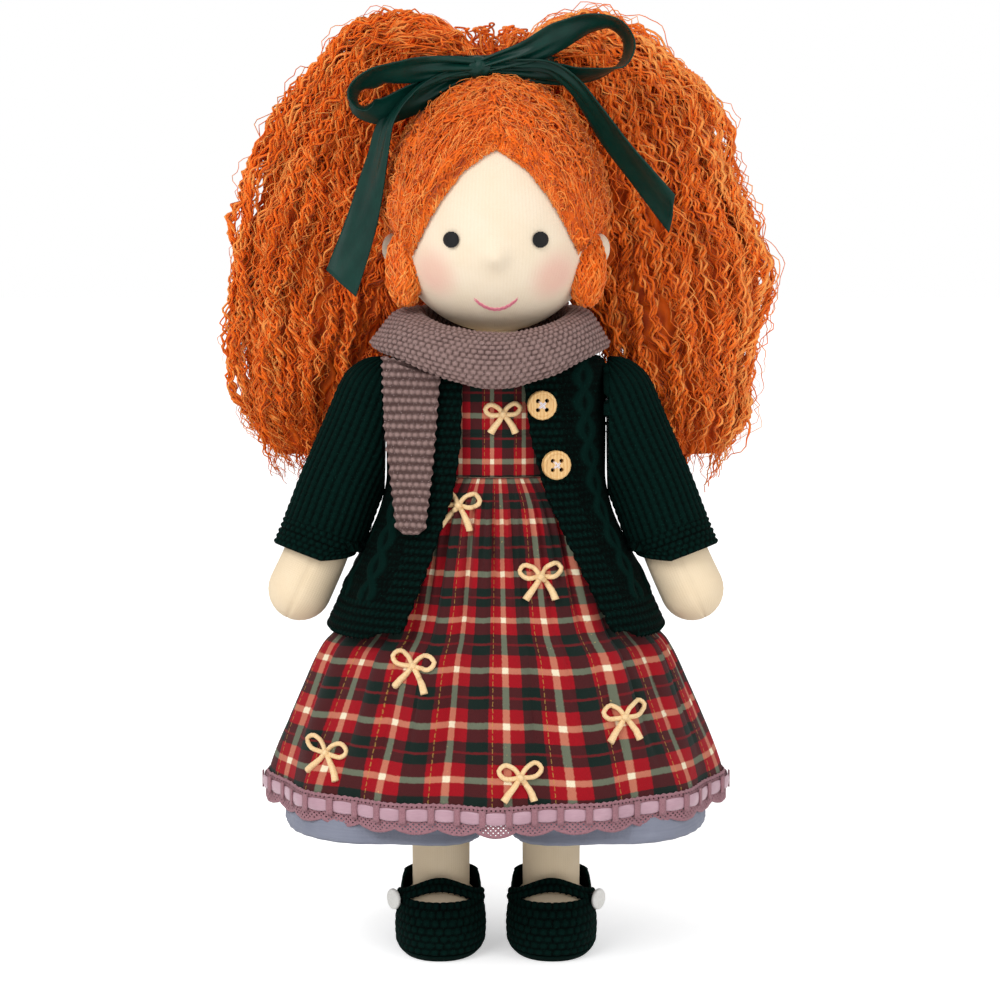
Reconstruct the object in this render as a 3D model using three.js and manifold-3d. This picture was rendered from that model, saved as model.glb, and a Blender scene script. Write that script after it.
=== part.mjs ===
// A cloth doll that stands on its own feet: knitted skin over wool stuffing, a high ponytail tied with
// a ribbon, and sewn and knitted clothes. Millimetres, +Z up. The doll faces along -Y, its left is +X,
// and the origin is on the ground under its middle.
import * as THREE from 'three';
import { mergeVertices } from 'three/addons/utils/BufferGeometryUtils.js';
import Module from 'manifold-3d';

const wasm = await Module();
wasm.setup();

// Clearances, how far a cutter runs past what it cuts, and the least height between two levels
const seatGap = 0.35;
const turnGap = 0.6;
const overrun = 5;
const leastRise = 0.1;

// Heights, stacked from the ground up
const soleThickness = 2.6;
const hipHeight = 126;
const hipToWaist = 66;
const waistToShoulder = 29;
const shoulderToNeckTop = 25;
const waistHeight = hipHeight + hipToWaist;
const shoulderHeight = waistHeight + waistToShoulder;
const neckTop = shoulderHeight + shoulderToNeckTop;

// Torso
const torsoDrop = 5.5;
const torsoHalfWidth = 37;
const torsoHalfDepth = 25;
const skinThickness = 1;
const shoulderHalfWidth = 45;
const shoulderStubRadius = 11;
const threadRadius = 0.8;
const knotRadius = 1.9;

// Head
const headRise = 2;
const eyeRise = 39;
const skullRise = 97.5;
const headHalfWidth = 39;
const headHalfDepth = 41;
const noseRadius = 4.4;
const noseBeadRadius = 2.4;
const noseDrop = 5.8;
const eyeRadius = 3;
const eyeThickness = 1;
const eyeHalfSpacing = 17.1;
const mouthHalfWidth = 8.5;
const mouthDrop = 22.5;
const mouthSag = 4.3;
const mouthThickness = 1.4;
const earHalfWidth = 4.6;
const earHalfDepth = 6;
const earHalfHeight = 6.4;
const earBack = 5;
const earDrop = 4.4;

// Hair
const capThickness = 6.6;
const capNapeHeight = 14;
const capSideHeight = 40;
const foreheadHeight = 33.2;
const hairlineHalfWidth = 34;
const lockHalfWidth = 10;
const lockHalfDepth = 10.5;
const lockHalfHeight = 15;
const lockThickness = 5.2;
const rootHalfWidth = 25;
const rootHalfDepth = 17;
const rootHeight = 5;
const rootBack = 10;
const maneHalfWidth = 110;
const maneHeight = 195;
const maneTopRise = 31;
const maneBack = 37;
const maneThickness = 26;
const maneForward = 10;
const manePartWidth = 24;
const hairFallHeight = 150;
const hairFallThickness = 15;

// Ribbon in the hair
const ribbonWidth = 15;
const ribbonThickness = 0.8;
const ribbonBandWidth = 7;
const ribbonKnotRadius = 5.5;
const ribbonLoopLength = 48;
const ribbonLoopDepth = 15;
const ribbonLoopRise = 20;
const ribbonTailLength = 92;

// Arms
const armRadius = 14;
const armLength = 87;
const armSpread = 33;
const armForward = 9;
const sleeveThickness = 3;
const cuffRadius = 17.6;
const cuffLengthShare = 0.71;

// Legs and shoes
const legRadius = 12.2;
const legHalfSpacing = 22.4;
const legBack = 4;
const legForwardSwing = 25;
const shoeHalfWidth = 18.4;
const shoeLength = 57;
const shoeHeight = 29;
const shoeWall = 2.4;
const shoeToeReach = 34.5;
const vampHeight = 19.5;
const strapWidth = 5.2;
const strapForward = 13;
const shoeButtonRadius = 3;
const shoeButtonThickness = 2.2;

// Dress
const dressCloth = 1;
const skirtCloth = 1.1;
const skirtLength = 123.5;
const hemHalfWidth = 90.6;
const hemHalfDepth = 72.4;
const foldDepth = 2.4;
const foldCount = 12;
const laceHeight = 12;
const laceOverlap = 3.4;
const laceThickness = 0.7;
const laceScallopDepth = 2.2;
const laceScallops = 30;
const skirtSteps = 60;
const trimWidth = 4.2;
const trimThickness = 0.5;
const trimDrop = 2.2;

// Bloomers
const bloomerCloth = 0.8;
const bloomerTopDrop = 9;
const bloomerHipHalfWidth = 41.5;
const bloomerHipHalfDepth = 28;
const bloomerLegLength = 71;
const bloomerHemHalfWidth = 35.5;
const bloomerHemHalfDepth = 53;
const bloomerInnerGap = 3.6;

// Cardigan
const knitThickness = 3;
const cardiganChestHalfWidth = 44.6;
const cardiganWaistHalfWidth = 44.2;
const cardiganHemHalfWidth = 62.6;
const cardiganLength = 105.5;
const cardiganFrontDrop = 3.5;
const collarRise = 20;
const necklineHalfWidth = 23;
const buttonRadius = 5.7;
const buttonThickness = 2.4;
const buttonHoleRadius = 0.95;
const buttonHoleSpacing = 1.75;
const buttonThreadRadius = 0.5;

// Scarf
const scarfHalfWidth = 49;
const scarfFrontReach = 43;
const scarfBackReach = 29;
const scarfInnerHalfWidth = 27.5;
const scarfInnerHalfDepth = 25.5;
const scarfFrontDrop = 18;
const scarfSideDrop = 3;
const scarfFrontRise = 4;
const scarfSideRise = 12;
const tailTopWidth = 24;
const tailTipWidth = 9.5;
const tailThickness = 3.4;
const tailLength = 68;
const tailOffset = 33;

// Materials
const finish = (colour, roughness, metalness = 0) =>
  new THREE.MeshStandardMaterial({ color: new THREE.Color(colour), roughness, metalness });
const skinKnit = finish('#f3e6cc', 0.9);
const woolStuffing = finish('#efe9dc', 1);
const sewingThread = finish('#e9e2d2', 0.8);
const mohair = finish('#c8571a', 0.95);
const satinRibbon = finish('#02483f', 0.35);
const scarfYarn = finish('#8c7775', 0.95);
const cardiganYarn = finish('#04201d', 0.95);
const tartanCotton = finish('#8f1226', 0.85);
const laceCotton = finish('#a57886', 0.9);
const trimSatin = finish('#b695a6', 0.4);
const bloomerCotton = finish('#7e8096', 0.9);
const shoeYarn = finish('#05241f', 0.95);
const buttonWood = finish('#e3ba78', 0.5);
const buttonWhite = finish('#f4f2ee', 0.3);
const eyeThread = finish('#0b0a0a', 0.6);
const mouthThread = finish('#d9708a', 0.7);

const doll = new THREE.Group();
const sides = { left: 1, right: -1 };
const { cos, sin, sign, abs, sqrt, PI, max, min, round } = Math;
const mergeReach = 1e-4;
const v3 = (x, y, z) => new THREE.Vector3(x, y, z);
const mix = (a, b, share) => a + (b - a) * share;
const degrees = (angle) => angle * PI / 180;

// A closed mesh as a solid, with its faces turned outwards
const solidOf = (geometry) => {
  const bare = geometry.clone();
  bare.deleteAttribute('normal');
  bare.deleteAttribute('uv');
  const merged = mergeVertices(bare, mergeReach);
  const points = merged.attributes.position;
  const corners = Array.from(merged.index.array);
  const [a, b, c] = [v3(0, 0, 0), v3(0, 0, 0), v3(0, 0, 0)];
  let volume = 0;
  for (let i = 0; i < corners.length; i += 3) {
    a.fromBufferAttribute(points, corners[i]);
    b.fromBufferAttribute(points, corners[i + 1]);
    c.fromBufferAttribute(points, corners[i + 2]);
    volume += a.dot(b.cross(c));
  }
  if (volume < 0) corners.reverse();
  return new wasm.Manifold(new wasm.Mesh({
    numProp: 3,
    vertProperties: Float32Array.from(points.array),
    triVerts: Uint32Array.from(corners),
  }));
};

const geometryOf = (solid) => {
  const mesh = solid.getMesh();
  const geometry = new THREE.BufferGeometry();
  geometry.setAttribute('position', new THREE.BufferAttribute(mesh.vertProperties, 3));
  geometry.setIndex(new THREE.BufferAttribute(mesh.triVerts, 1));
  return geometry;
};

// Puts a finished solid into the doll as a named piece
const add = (name, solid, material) => {
  const mesh = new THREE.Mesh(geometryOf(solid), material);
  mesh.name = name;
  doll.add(mesh);
};

// Skins a row of point loops. An open row gets flat ends, a closed one joins its last loop to its first.
const skinLoops = (loops, closed = false) => {
  const steps = loops[0].length;
  const positions = loops.flat().flatMap((p) => [p.x, p.y, p.z]);
  const index = [];
  const rows = closed ? loops.length : loops.length - 1;
  for (let row = 0; row < rows; row += 1) {
    const next = (row + 1) % loops.length;
    for (let i = 0; i < steps; i += 1) {
      const j = (i + 1) % steps;
      const [a, b, c, d] = [row * steps + i, row * steps + j, next * steps + j, next * steps + i];
      index.push(a, b, c, a, c, d);
    }
  }
  if (!closed) {
    for (const [row, turn] of [[0, 1], [loops.length - 1, 0]]) {
      const centre = loops[row].reduce((sum, p) => sum.add(p), v3(0, 0, 0)).divideScalar(steps);
      const hub = positions.length / 3;
      positions.push(centre.x, centre.y, centre.z);
      for (let i = 0; i < steps; i += 1) {
        const [a, b] = [row * steps + i, row * steps + (i + 1) % steps];
        index.push(hub, ...(turn ? [b, a] : [a, b]));
      }
    }
  }
  const geometry = new THREE.BufferGeometry();
  geometry.setAttribute('position', new THREE.BufferAttribute(Float32Array.from(positions), 3));
  geometry.setIndex(index);
  return solidOf(geometry);
};

// An oval loop at one height, rounder at squareness 2 and boxier above it
const oval = (z, halfWidth, halfDepth, { x = 0, y = 0, steps = 24, squareness = 2, wave = () => 0 } = {}) =>
  Array.from({ length: steps }, (_, i) => {
    const angle = 2 * PI * i / steps;
    const power = 2 / squareness;
    const push = wave(angle);
    return v3(
      x + (halfWidth + push) * sign(cos(angle)) * abs(cos(angle)) ** power,
      y + (halfDepth + push) * sign(sin(angle)) * abs(sin(angle)) ** power,
      z,
    );
  });

// A form that swells and tapers up its height. Coarse rows of [height, half width, half depth, x, y]
// are eased into fine levels, and every layer worn over the form is grown from the same levels.
const easeRows = (rows, spacing) => {
  const slope = (i, column) => {
    if (i === 0 || i === rows.length - 1) return 0;
    const before = (rows[i][column] - rows[i - 1][column]) / (rows[i][0] - rows[i - 1][0]);
    const after = (rows[i + 1][column] - rows[i][column]) / (rows[i + 1][0] - rows[i][0]);
    return before * after <= 0 ? 0 : 2 * before * after / (before + after);
  };
  const levels = [rows[0]];
  for (let i = 0; i + 1 < rows.length; i += 1) {
    const span = rows[i + 1][0] - rows[i][0];
    const parts = max(1, round(span / spacing));
    for (let k = 1; k <= parts; k += 1) {
      const t = k / parts;
      const eased = rows[i].map((value, column) => {
        const [h0, h1] = [2 * t ** 3 - 3 * t ** 2 + 1, -2 * t ** 3 + 3 * t ** 2];
        const [g0, g1] = [t ** 3 - 2 * t ** 2 + t, t ** 3 - t ** 2];
        return h0 * value + h1 * rows[i + 1][column] + (g0 * slope(i, column) + g1 * slope(i + 1, column)) * span;
      });
      eased[0] = mix(rows[i][0], rows[i + 1][0], t);
      levels.push(eased);
    }
  }
  return levels;
};

class Form {
  constructor(levels, options = {}) {
    this.levels = levels;
    this.options = options;
  }

  static eased(rows, spacing, options) {
    return new Form(easeRows(rows, spacing), options);
  }

  at(z) {
    const { levels } = this;
    if (z <= levels[0][0]) return levels[0];
    const next = levels.findIndex((level) => level[0] > z);
    if (next < 0) return levels[levels.length - 1];
    const share = (z - levels[next - 1][0]) / (levels[next][0] - levels[next - 1][0]);
    return levels[next].map((value, column) => mix(levels[next - 1][column], value, share));
  }

  grown(distance) {
    const grow = ([z, halfWidth, halfDepth, ...place]) => [z, halfWidth + distance, halfDepth + distance, ...place];
    return new Form(this.levels.map(grow), this.options);
  }

  solid(from = this.levels[0][0], to = this.levels[this.levels.length - 1][0]) {
    const between = this.levels.filter(([z]) => z > from + leastRise && z < to - leastRise);
    const ends = (z) => [z, ...this.at(z).slice(1)];
    const loops = [ends(from), ...between, ends(to)].map(([z, halfWidth, halfDepth, x = 0, y = 0]) =>
      oval(z, halfWidth, halfDepth, { x, y, ...this.options, wave: this.waveAt(z) }));
    return skinLoops(loops);
  }

  waveAt(z) {
    return (angle) => (this.options.wave ? this.options.wave(angle, z) : 0);
  }

  // The front of the form at one place: the point on its surface and the direction straight out of it
  front(x, z) {
    const [, halfWidth, halfDepth] = this.at(z);
    const { squareness = 2 } = this.options;
    const across = min(1, abs(x) / halfWidth);
    const ahead = (1 - across ** squareness) ** (1 / squareness);
    const out = v3(
      sign(x) * across ** (squareness - 1) / halfWidth,
      -(ahead ** (squareness - 1)) / halfDepth,
      0,
    ).normalize();
    return { point: v3(x, -halfDepth * ahead, z), out };
  }
}

// Plain cutters
const block = (low, high) => {
  const size = high.clone().sub(low);
  const centre = low.clone().add(high).multiplyScalar(1 / 2);
  return solidOf(new THREE.BoxGeometry(size.x, size.y, size.z).translate(centre.x, centre.y, centre.z));
};
const ball = (centre, radii, across = 16, down = 10) =>
  solidOf(new THREE.SphereGeometry(1, across, down).scale(radii.x, radii.y, radii.z)
    .translate(centre.x, centre.y, centre.z));
const rod = (from, to, radius, sidesOfRod = 12) => {
  const along = to.clone().sub(from);
  const middle = from.clone().add(to).multiplyScalar(1 / 2);
  const geometry = new THREE.CylinderGeometry(radius, radius, along.length(), sidesOfRod);
  geometry.applyQuaternion(new THREE.Quaternion().setFromUnitVectors(v3(0, 1, 0), along.normalize()));
  return solidOf(geometry.translate(middle.x, middle.y, middle.z));
};

// A front view outline of [x, z] points, cut through from one depth to another
const frontPrism = (outline, fromY, toY) => {
  const shape = new THREE.Shape(outline.map(([x, z]) => new THREE.Vector2(x, z)));
  const geometry = new THREE.ExtrudeGeometry(shape, { depth: toY - fromY, bevelEnabled: false });
  return solidOf(geometry.rotateX(PI / 2).translate(0, toY, 0));
};

// A tube along a path of stations { point, radius }, round in section, with its ends closed
const tubeAlong = (stations, steps) => {
  const loops = stations.map(({ point, radius }, i) => {
    const before = stations[max(0, i - 1)].point;
    const after = stations[min(stations.length - 1, i + 1)].point;
    const along = after.clone().sub(before).normalize();
    const across = v3(0, 1, 0).cross(along).normalize();
    const up = along.clone().cross(across).normalize();
    return Array.from({ length: steps }, (_, k) => {
      const angle = 2 * PI * k / steps;
      return point.clone().addScaledVector(across, radius * cos(angle)).addScaledVector(up, radius * sin(angle));
    });
  });
  return skinLoops(loops);
};

// A flat strip along a path of stations { point, across, out }, such as a ribbon or a scarf's tail
const stripAlong = (stations, thickness) => skinLoops(stations.map(({ point, across, out }) => {
  const lift = out.clone().multiplyScalar(thickness / 2);
  const corner = (a, b) => point.clone().addScaledVector(across, a).addScaledVector(lift, b);
  return [corner(-1, -1), corner(1, -1), corner(1, 1), corner(-1, 1)];
}));

// Torso: one knitted skin over wool, with a tongue between the thighs and a stub at each shoulder
const torsoBottom = hipHeight - torsoDrop;
const torsoShares = [
  [0.00, 0.42, 0.50],
  [0.15, 0.92, 0.96],
  [0.30, 0.96, 1.00],
  [0.55, 0.85, 0.90],
  [0.84, 1.00, 0.92],
  [0.92, 0.76, 0.74],
  [0.97, 0.46, 0.60],
  [1.00, 0.43, 0.58],
];
const levelSpacing = 24;
const torsoSteps = 16;
const torso = Form.eased(torsoShares.map(([rise, width, depth]) =>
  [mix(torsoBottom, neckTop, rise), torsoHalfWidth * width, torsoHalfDepth * depth]), levelSpacing,
{ steps: torsoSteps });
const hipCentre = (side) => v3(side * legHalfSpacing, legBack, hipHeight);
const shoulderCentre = (side) => v3(side * shoulderHalfWidth, 0, shoulderHeight);
const thighRoom = legRadius * sin(degrees(legForwardSwing)) + turnGap;
const socketSteps = 10;
const socketRound = 1 / cos(PI / socketSteps) ** 2;
const tongueHalfWidth = legHalfSpacing - legRadius - turnGap;

// The torso shrunk by a depth below its skin, with the two thigh sockets and the shoulder stubs
const torsoAt = (depth) => {
  let body = torso.grown(-depth).solid(torsoBottom + depth, neckTop);
  for (const side of Object.values(sides)) {
    const hip = hipCentre(side);
    const socket = (legRadius + turnGap + depth) * socketRound;
    const inner = side * (tongueHalfWidth - depth);
    const outer = side * (torsoHalfWidth + overrun);
    const stubEnd = shoulderCentre(side).setX(side * (shoulderHalfWidth - turnGap - depth));
    const stubStart = shoulderCentre(side).setX(side * torsoHalfWidth / 2);
    body = body.subtract(ball(hip, v3(socket, socket, socket), socketSteps, socketSteps / 2));
    body = body.subtract(block(
      v3(min(inner, outer), -torsoHalfDepth - overrun, torsoBottom - overrun),
      v3(max(inner, outer), torsoHalfDepth + overrun, hipHeight + thighRoom + depth),
    ));
    body = body.add(rod(stubStart, stubEnd, shoulderStubRadius - depth, socketSteps));
  }
  return body;
};
const threadSides = 6;
const knotRings = 4;
const spans = (centre, halfLength, radius) =>
  rod(v3(-halfLength, centre.y, centre.z), v3(halfLength, centre.y, centre.z), radius, threadSides);
const knotAt = (centre, x, radius) =>
  ball(v3(x, centre.y, centre.z), v3(radius, radius, radius), threadSides, knotRings);
const shoulderKnotX = shoulderHalfWidth + 4 * knotRadius;
const hipKnotX = legHalfSpacing + legRadius + knotRadius + seatGap;
const threadBore = (centre, halfLength) => spans(centre, halfLength, threadRadius + seatGap);
const shoulderBore = threadBore(shoulderCentre(1), shoulderKnotX);
const hipBore = threadBore(hipCentre(1), hipKnotX);
const neckOpening = torso.grown(-skinThickness).solid(neckTop - skinThickness, neckTop);
const torsoSkin = torsoAt(0).subtract(torsoAt(skinThickness)).subtract(neckOpening);
add('torso_skin', torsoSkin.subtract(shoulderBore).subtract(hipBore), skinKnit);
const stuffingInset = skinThickness + seatGap;
add('torso_stuffing', torsoAt(stuffingInset).subtract(shoulderBore).subtract(hipBore), woolStuffing);
const thread = (centre, knotX) => spans(centre, knotX, threadRadius)
  .add(knotAt(centre, knotX, knotRadius)).add(knotAt(centre, -knotX, knotRadius));
add('shoulder_thread', thread(shoulderCentre(1), shoulderKnotX), sewingThread);
add('hip_thread', thread(hipCentre(1), hipKnotX), sewingThread);

// Head: a tied ball of wool in a skin, rounder at the cheeks than at the crown
const headBottom = neckTop + headRise;
const eyeHeight = headBottom + eyeRise - headRise;
const skullTop = headBottom + skullRise - headRise;
const headSteps = 16;
const headRows = 8;
const poleShare = 0.12;
const headLevels = Array.from({ length: headRows + 1 }, (_, i) => {
  const angle = mix(-PI / 2, PI / 2, i / headRows);
  const rise = sin(angle);
  const z = eyeHeight + rise * (rise < 0 ? eyeHeight - headBottom : skullTop - eyeHeight);
  const width = max(cos(angle), poleShare);
  return [z, headHalfWidth * width, headHalfDepth * width];
});
const head = new Form(headLevels, { steps: headSteps });
const headAt = (grow) => {
  const levels = head.levels.map(([z, halfWidth, halfDepth]) => {
    const share = (z - headBottom) / (skullTop - headBottom);
    return [mix(headBottom - grow, skullTop + grow, share), halfWidth + grow, halfDepth + grow];
  });
  return new Form(levels, head.options);
};
const neckPegRadius = 9;
const neckPeg = (bottom, radius) => rod(v3(0, 0, bottom), v3(0, 0, headBottom + overrun), radius);
const noseSinkShare = 0.42;
const noseSteps = 8;
const noseRings = 6;
const noseCentre = v3(0, -headHalfDepth + noseRadius * noseSinkShare, eyeHeight - noseDrop);
const round3 = (radius) => v3(radius, radius, radius);
const noseBall = (grow) => ball(noseCentre, round3(noseRadius + grow), noseSteps, noseRings);
const beadCentre = noseCentre.clone().setY(noseCentre.y + skinThickness / 2);
const noseBead = (grow) => ball(beadCentre, round3(noseBeadRadius + grow), noseSteps, noseRings);
const headOuter = headAt(0).solid().add(noseBall(0)).add(neckPeg(neckTop + seatGap, neckPegRadius));
const headHollow = headAt(-skinThickness).solid().add(noseBead(seatGap))
  .add(neckPeg(neckTop, neckPegRadius - skinThickness));
add('head_skin', headOuter.subtract(headHollow), skinKnit);
const headCore = headAt(-skinThickness - seatGap).solid().subtract(noseBead(2 * seatGap));
add('head_core', headCore, woolStuffing);
add('nose_bead', noseBead(0), woolStuffing);

// Stitching on the face stands on the skin: each piece is cut back by the head it lies against
const faceCut = headAt(seatGap).solid();
const facePlace = (x, z) => headAt(seatGap).front(x, z);
const earSteps = 8;
const earRings = 6;
for (const [name, side] of Object.entries(sides)) {
  const { point, out } = facePlace(side * eyeHalfSpacing, eyeHeight);
  const [eyeBack, eyeFront] = [-eyeThickness, eyeThickness].map((reach) => point.clone().addScaledVector(out, reach));
  add(`eye_${name}`, rod(eyeBack, eyeFront, eyeRadius).subtract(faceCut), eyeThread);
  const ear = ball(
    v3(side * headHalfWidth, earBack, eyeHeight - earDrop),
    v3(earHalfWidth, earHalfDepth, earHalfHeight),
    earSteps,
    earRings,
  );
  add(`ear_${name}`, ear.subtract(faceCut), skinKnit);
}
const mouthSteps = 8;
const mouthSides = 6;
const mouthStations = Array.from({ length: mouthSteps + 1 }, (_, i) => {
  const share = 2 * i / mouthSteps - 1;
  const z = eyeHeight - mouthDrop - mouthSag * (1 - share * share);
  return { point: facePlace(share * mouthHalfWidth, z).point, radius: mouthThickness / 2 };
});
add('mouth', tubeAlong(mouthStations, mouthSides).subtract(faceCut), mouthThread);

// Hair: a cap over the skull with a heart-shaped hairline, a lock in front of each ear
const capOuter = headAt(capThickness).solid();
const capInner = faceCut.add(noseBall(seatGap));
const hairlineShares = [
  [0.00, 1.00],
  [0.36, 0.83],
  [0.60, 0.52],
  [0.80, 0.20],
  [0.94, -0.12],
  [1.00, -0.38],
  [1.06, -1.20],
];
const hairlineSide = (side) => hairlineShares.map(([across, rise]) =>
  [side * across * hairlineHalfWidth, eyeHeight + rise * foreheadHeight]);
const faceOpening = frontPrism(
  [...hairlineSide(1), ...hairlineSide(-1).slice(1).reverse()],
  -headHalfDepth - capThickness - overrun,
  0,
);
const hairReach = headHalfWidth + capThickness + overrun;
const napeCut = block(
  v3(-hairReach, -hairReach, headBottom - capThickness - overrun),
  v3(hairReach, hairReach, headBottom + capNapeHeight),
);
const sideCut = block(
  v3(-hairReach, -hairReach, headBottom - overrun),
  v3(hairReach, earBack + earHalfDepth + seatGap, headBottom + capSideHeight),
);
add('hair_cap', capOuter.subtract(capInner).subtract(faceOpening).subtract(napeCut).subtract(sideCut), mohair);
const lockInShare = 0.93;
const lockSteps = 8;
const lockTop = headBottom + capSideHeight;
const aboveLocks = block(v3(-hairReach, -hairReach, lockTop - seatGap), v3(hairReach, hairReach, skullTop));
for (const [name, side] of Object.entries(sides)) {
  const lockCentre = v3(
    side * headHalfWidth * lockInShare,
    earBack - earHalfDepth - lockHalfDepth,
    lockTop - lockHalfHeight,
  );
  const lock = ball(lockCentre, v3(lockHalfWidth, lockHalfDepth, lockHalfHeight), lockSteps, lockSteps)
    .intersect(headAt(lockThickness).solid()).subtract(faceCut).subtract(aboveLocks);
  add(`hair_lock_${name}`, lock, mohair);
}

// Ponytail: a root gathered by the ribbon on the crown, two wide side bunches and a fall behind
const capTop = skullTop + capThickness;
const rootTop = capTop + rootHeight;
const rootSteps = 14;
const rootForm = (grow) => {
  const place = [0, rootBack];
  return new Form([
    [skullTop - overrun, rootHalfWidth + grow, rootHalfDepth + grow, ...place],
    [rootTop, rootHalfWidth + grow, rootHalfDepth + grow, ...place],
  ], { steps: rootSteps });
};
const capGrown = headAt(capThickness + seatGap).solid();
add('ponytail_root', rootForm(0).solid().subtract(capGrown), mohair);
const bandInset = seatGap + ribbonThickness;
const bandBottom = rootTop - ribbonBandWidth;
const band = rootForm(bandInset).solid().subtract(rootForm(seatGap).solid(skullTop - 2 * overrun, rootTop + overrun))
  .subtract(block(v3(-hairReach, -hairReach, skullTop - 2 * overrun), v3(hairReach, hairReach, bandBottom)))
  .subtract(capGrown);
add('ribbon_band', band, satinRibbon);

// Half outline of the ponytail from the front: [height share, outer share, thickness share, forward share]
const maneShares = [
  [0.00, 0.70, 0.45, 0],
  [0.06, 0.86, 0.75, 0],
  [0.20, 0.97, 0.95, 0],
  [0.45, 1.00, 1.00, 0],
  [0.62, 0.95, 1.00, 1],
  [0.76, 0.88, 0.95, 1],
  [0.86, 0.72, 0.85, 1],
  [0.94, 0.50, 0.70, 1],
  [1.00, 0.30, 0.40, 1],
];
const maneTop = skullTop + maneTopRise;
const maneBottom = maneTop - maneHeight;
const maneLevelSpacing = 30;
const maneInnerShares = [
  [0.00, 0.56],
  [0.10, 0.46],
  [0.43, 1.00],
];
const maneSteps = 12;
const maneSquareness = 2.6;
const maneInner = (share) => {
  if (share < maneInnerShares[1][0]) return maneHalfWidth * maneInnerShares[0][1];
  if (share < maneInnerShares[2][0]) return maneHalfWidth * maneInnerShares[1][1];
  return manePartWidth * maneInnerShares[2][1];
};
const rootRoom = rootForm(bandInset + turnGap).solid(skullTop - overrun, rootTop + seatGap);
const maneShape = { steps: maneSteps, squareness: maneSquareness };
for (const [name, side] of Object.entries(sides)) {
  const rows = maneShares.map(([rise, outer, thick, forward]) => {
    const inner = maneInner(rise);
    const outerX = outer * maneHalfWidth;
    return [
      mix(maneBottom, maneTop, rise),
      max((outerX - inner) / 2, maneThickness / 4),
      thick * maneThickness / 2,
      side * (outerX + inner) / 2,
      maneBack - forward * maneForward,
    ];
  });
  const bunch = Form.eased(rows, maneLevelSpacing, maneShape).solid();
  add(`hair_bunch_${name}`, bunch.subtract(capGrown).subtract(rootRoom), mohair);
}
const fallTop = rootTop + seatGap;
const fallBack = headHalfDepth + capThickness + seatGap + hairFallThickness / 2;
const fallShares = [
  [0.00, 1.20, 0.50, 0.88],
  [0.12, 1.70, 0.90, 0.96],
  [0.30, 1.60, 1.00, 1.00],
  [0.40, 1.00, 1.00, 1.00],
  [0.75, 1.00, 1.00, 0.94],
  [0.92, 0.95, 1.00, 0.66],
  [1.00, 0.80, 0.60, 0.40],
];
const fall = Form.eased(fallShares.map(([rise, width, thick, back]) => [
  mix(fallTop + ribbonBandWidth - hairFallHeight, fallTop + ribbonBandWidth, rise),
  (manePartWidth - seatGap) * width,
  thick * hairFallThickness / 2,
  0,
  fallBack * back,
]), maneLevelSpacing, maneShape).solid();
add('hair_back', fall.subtract(capGrown).subtract(rootRoom), mohair);

// Ribbon bow in front of the ponytail's root: a knot, one loop that droops and one that stands up, and
// a tail from each side that passes between its own loop's two strands
const knotShares = [1, 0.6, 0.8];
const knotAsideShare = 0.28;
const knotSteps = 8;
const knotRows = 6;
const knotRadii = knotShares.map((share) => ribbonKnotRadius * share);
const knotCentre = v3(
  -rootHalfWidth * knotAsideShare,
  rootBack - rootHalfDepth - bandInset - knotRadii[1] - seatGap,
  rootTop - ribbonBandWidth / 2,
);
const knotBall = (grow) => ball(knotCentre, v3(...knotRadii.map((radius) => radius + grow)), knotSteps, knotRows);
add('ribbon_knot', knotBall(0).subtract(capGrown), satinRibbon);
const bowClear = (solid) => solid.subtract(capGrown).subtract(knotBall(seatGap))
  .subtract(rootForm(bandInset + seatGap).solid(skullTop - overrun, rootTop + seatGap));
const bowExtraSteps = 2;
const loopLean = 0.3;
const ribbonPath = (places, acrossAt) => {
  const curve = new THREE.CatmullRomCurve3(places);
  const steps = places.length + bowExtraSteps;
  return Array.from({ length: steps + 1 }, (_, i) => {
    const along = curve.getTangent(i / steps);
    const across = acrossAt(along);
    const out = along.clone().cross(across).normalize();
    return { point: curve.getPoint(i / steps), across: across.multiplyScalar(ribbonWidth / 2), out };
  });
};
const loopPlace = (side, [out, back, up]) => knotCentre.clone().add(v3(
  side * out * ribbonLoopLength,
  back * ribbonLoopDepth,
  up * ribbonLoopRise,
));
const tailPlace = (side, [out, back, down]) => knotCentre.clone().add(v3(
  side * out * ribbonTailLength,
  back * ribbonLoopDepth,
  -down * ribbonTailLength,
));
const loopShares = {
  left: [
    [0.04, -0.20, 0.00],
    [0.22, -0.45, 0.20],
    [0.72, -0.60, 0.62],
    [1.10, -0.15, 0.62],
    [1.14, 0.25, 0.20],
    [0.80, 0.50, -0.18],
    [0.24, 0.30, -0.10],
    [0.04, 0.16, 0.00],
  ],
  right: [
    [0.04, -0.20, 0.00],
    [0.22, -0.45, 0.06],
    [0.72, -0.60, -0.02],
    [0.98, -0.20, -0.34],
    [0.96, 0.25, -0.70],
    [0.72, 0.50, -0.86],
    [0.24, 0.30, -0.24],
    [0.04, 0.16, 0.00],
  ],
};
const tailShares = {
  left: [[0.04, 0, 0.00], [0.32, 0, 0.10], [0.50, 0, 0.22], [0.66, 0, 0.42], [0.82, 0, 0.62]],
  right: [[0.04, 0, 0.00], [0.24, 0, 0.08], [0.40, 0, 0.26], [0.50, 0, 0.52], [0.58, 0, 0.90]],
};
for (const [name, side] of Object.entries(sides)) {
  const loopLine = loopShares[name].map((shares) => loopPlace(side, shares));
  const upright = () => v3(0, -loopLean, 1).normalize();
  add(`ribbon_loop_${name}`, bowClear(stripAlong(ribbonPath(loopLine, upright), ribbonThickness)), satinRibbon);
  const tailLine = tailShares[name].map((shares) => tailPlace(side, shares));
  const facing = (along) => along.clone().cross(v3(0, 1, 0)).normalize();
  add(`ribbon_tail_${name}`, bowClear(stripAlong(ribbonPath(tailLine, facing), ribbonThickness)), satinRibbon);
}

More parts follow.
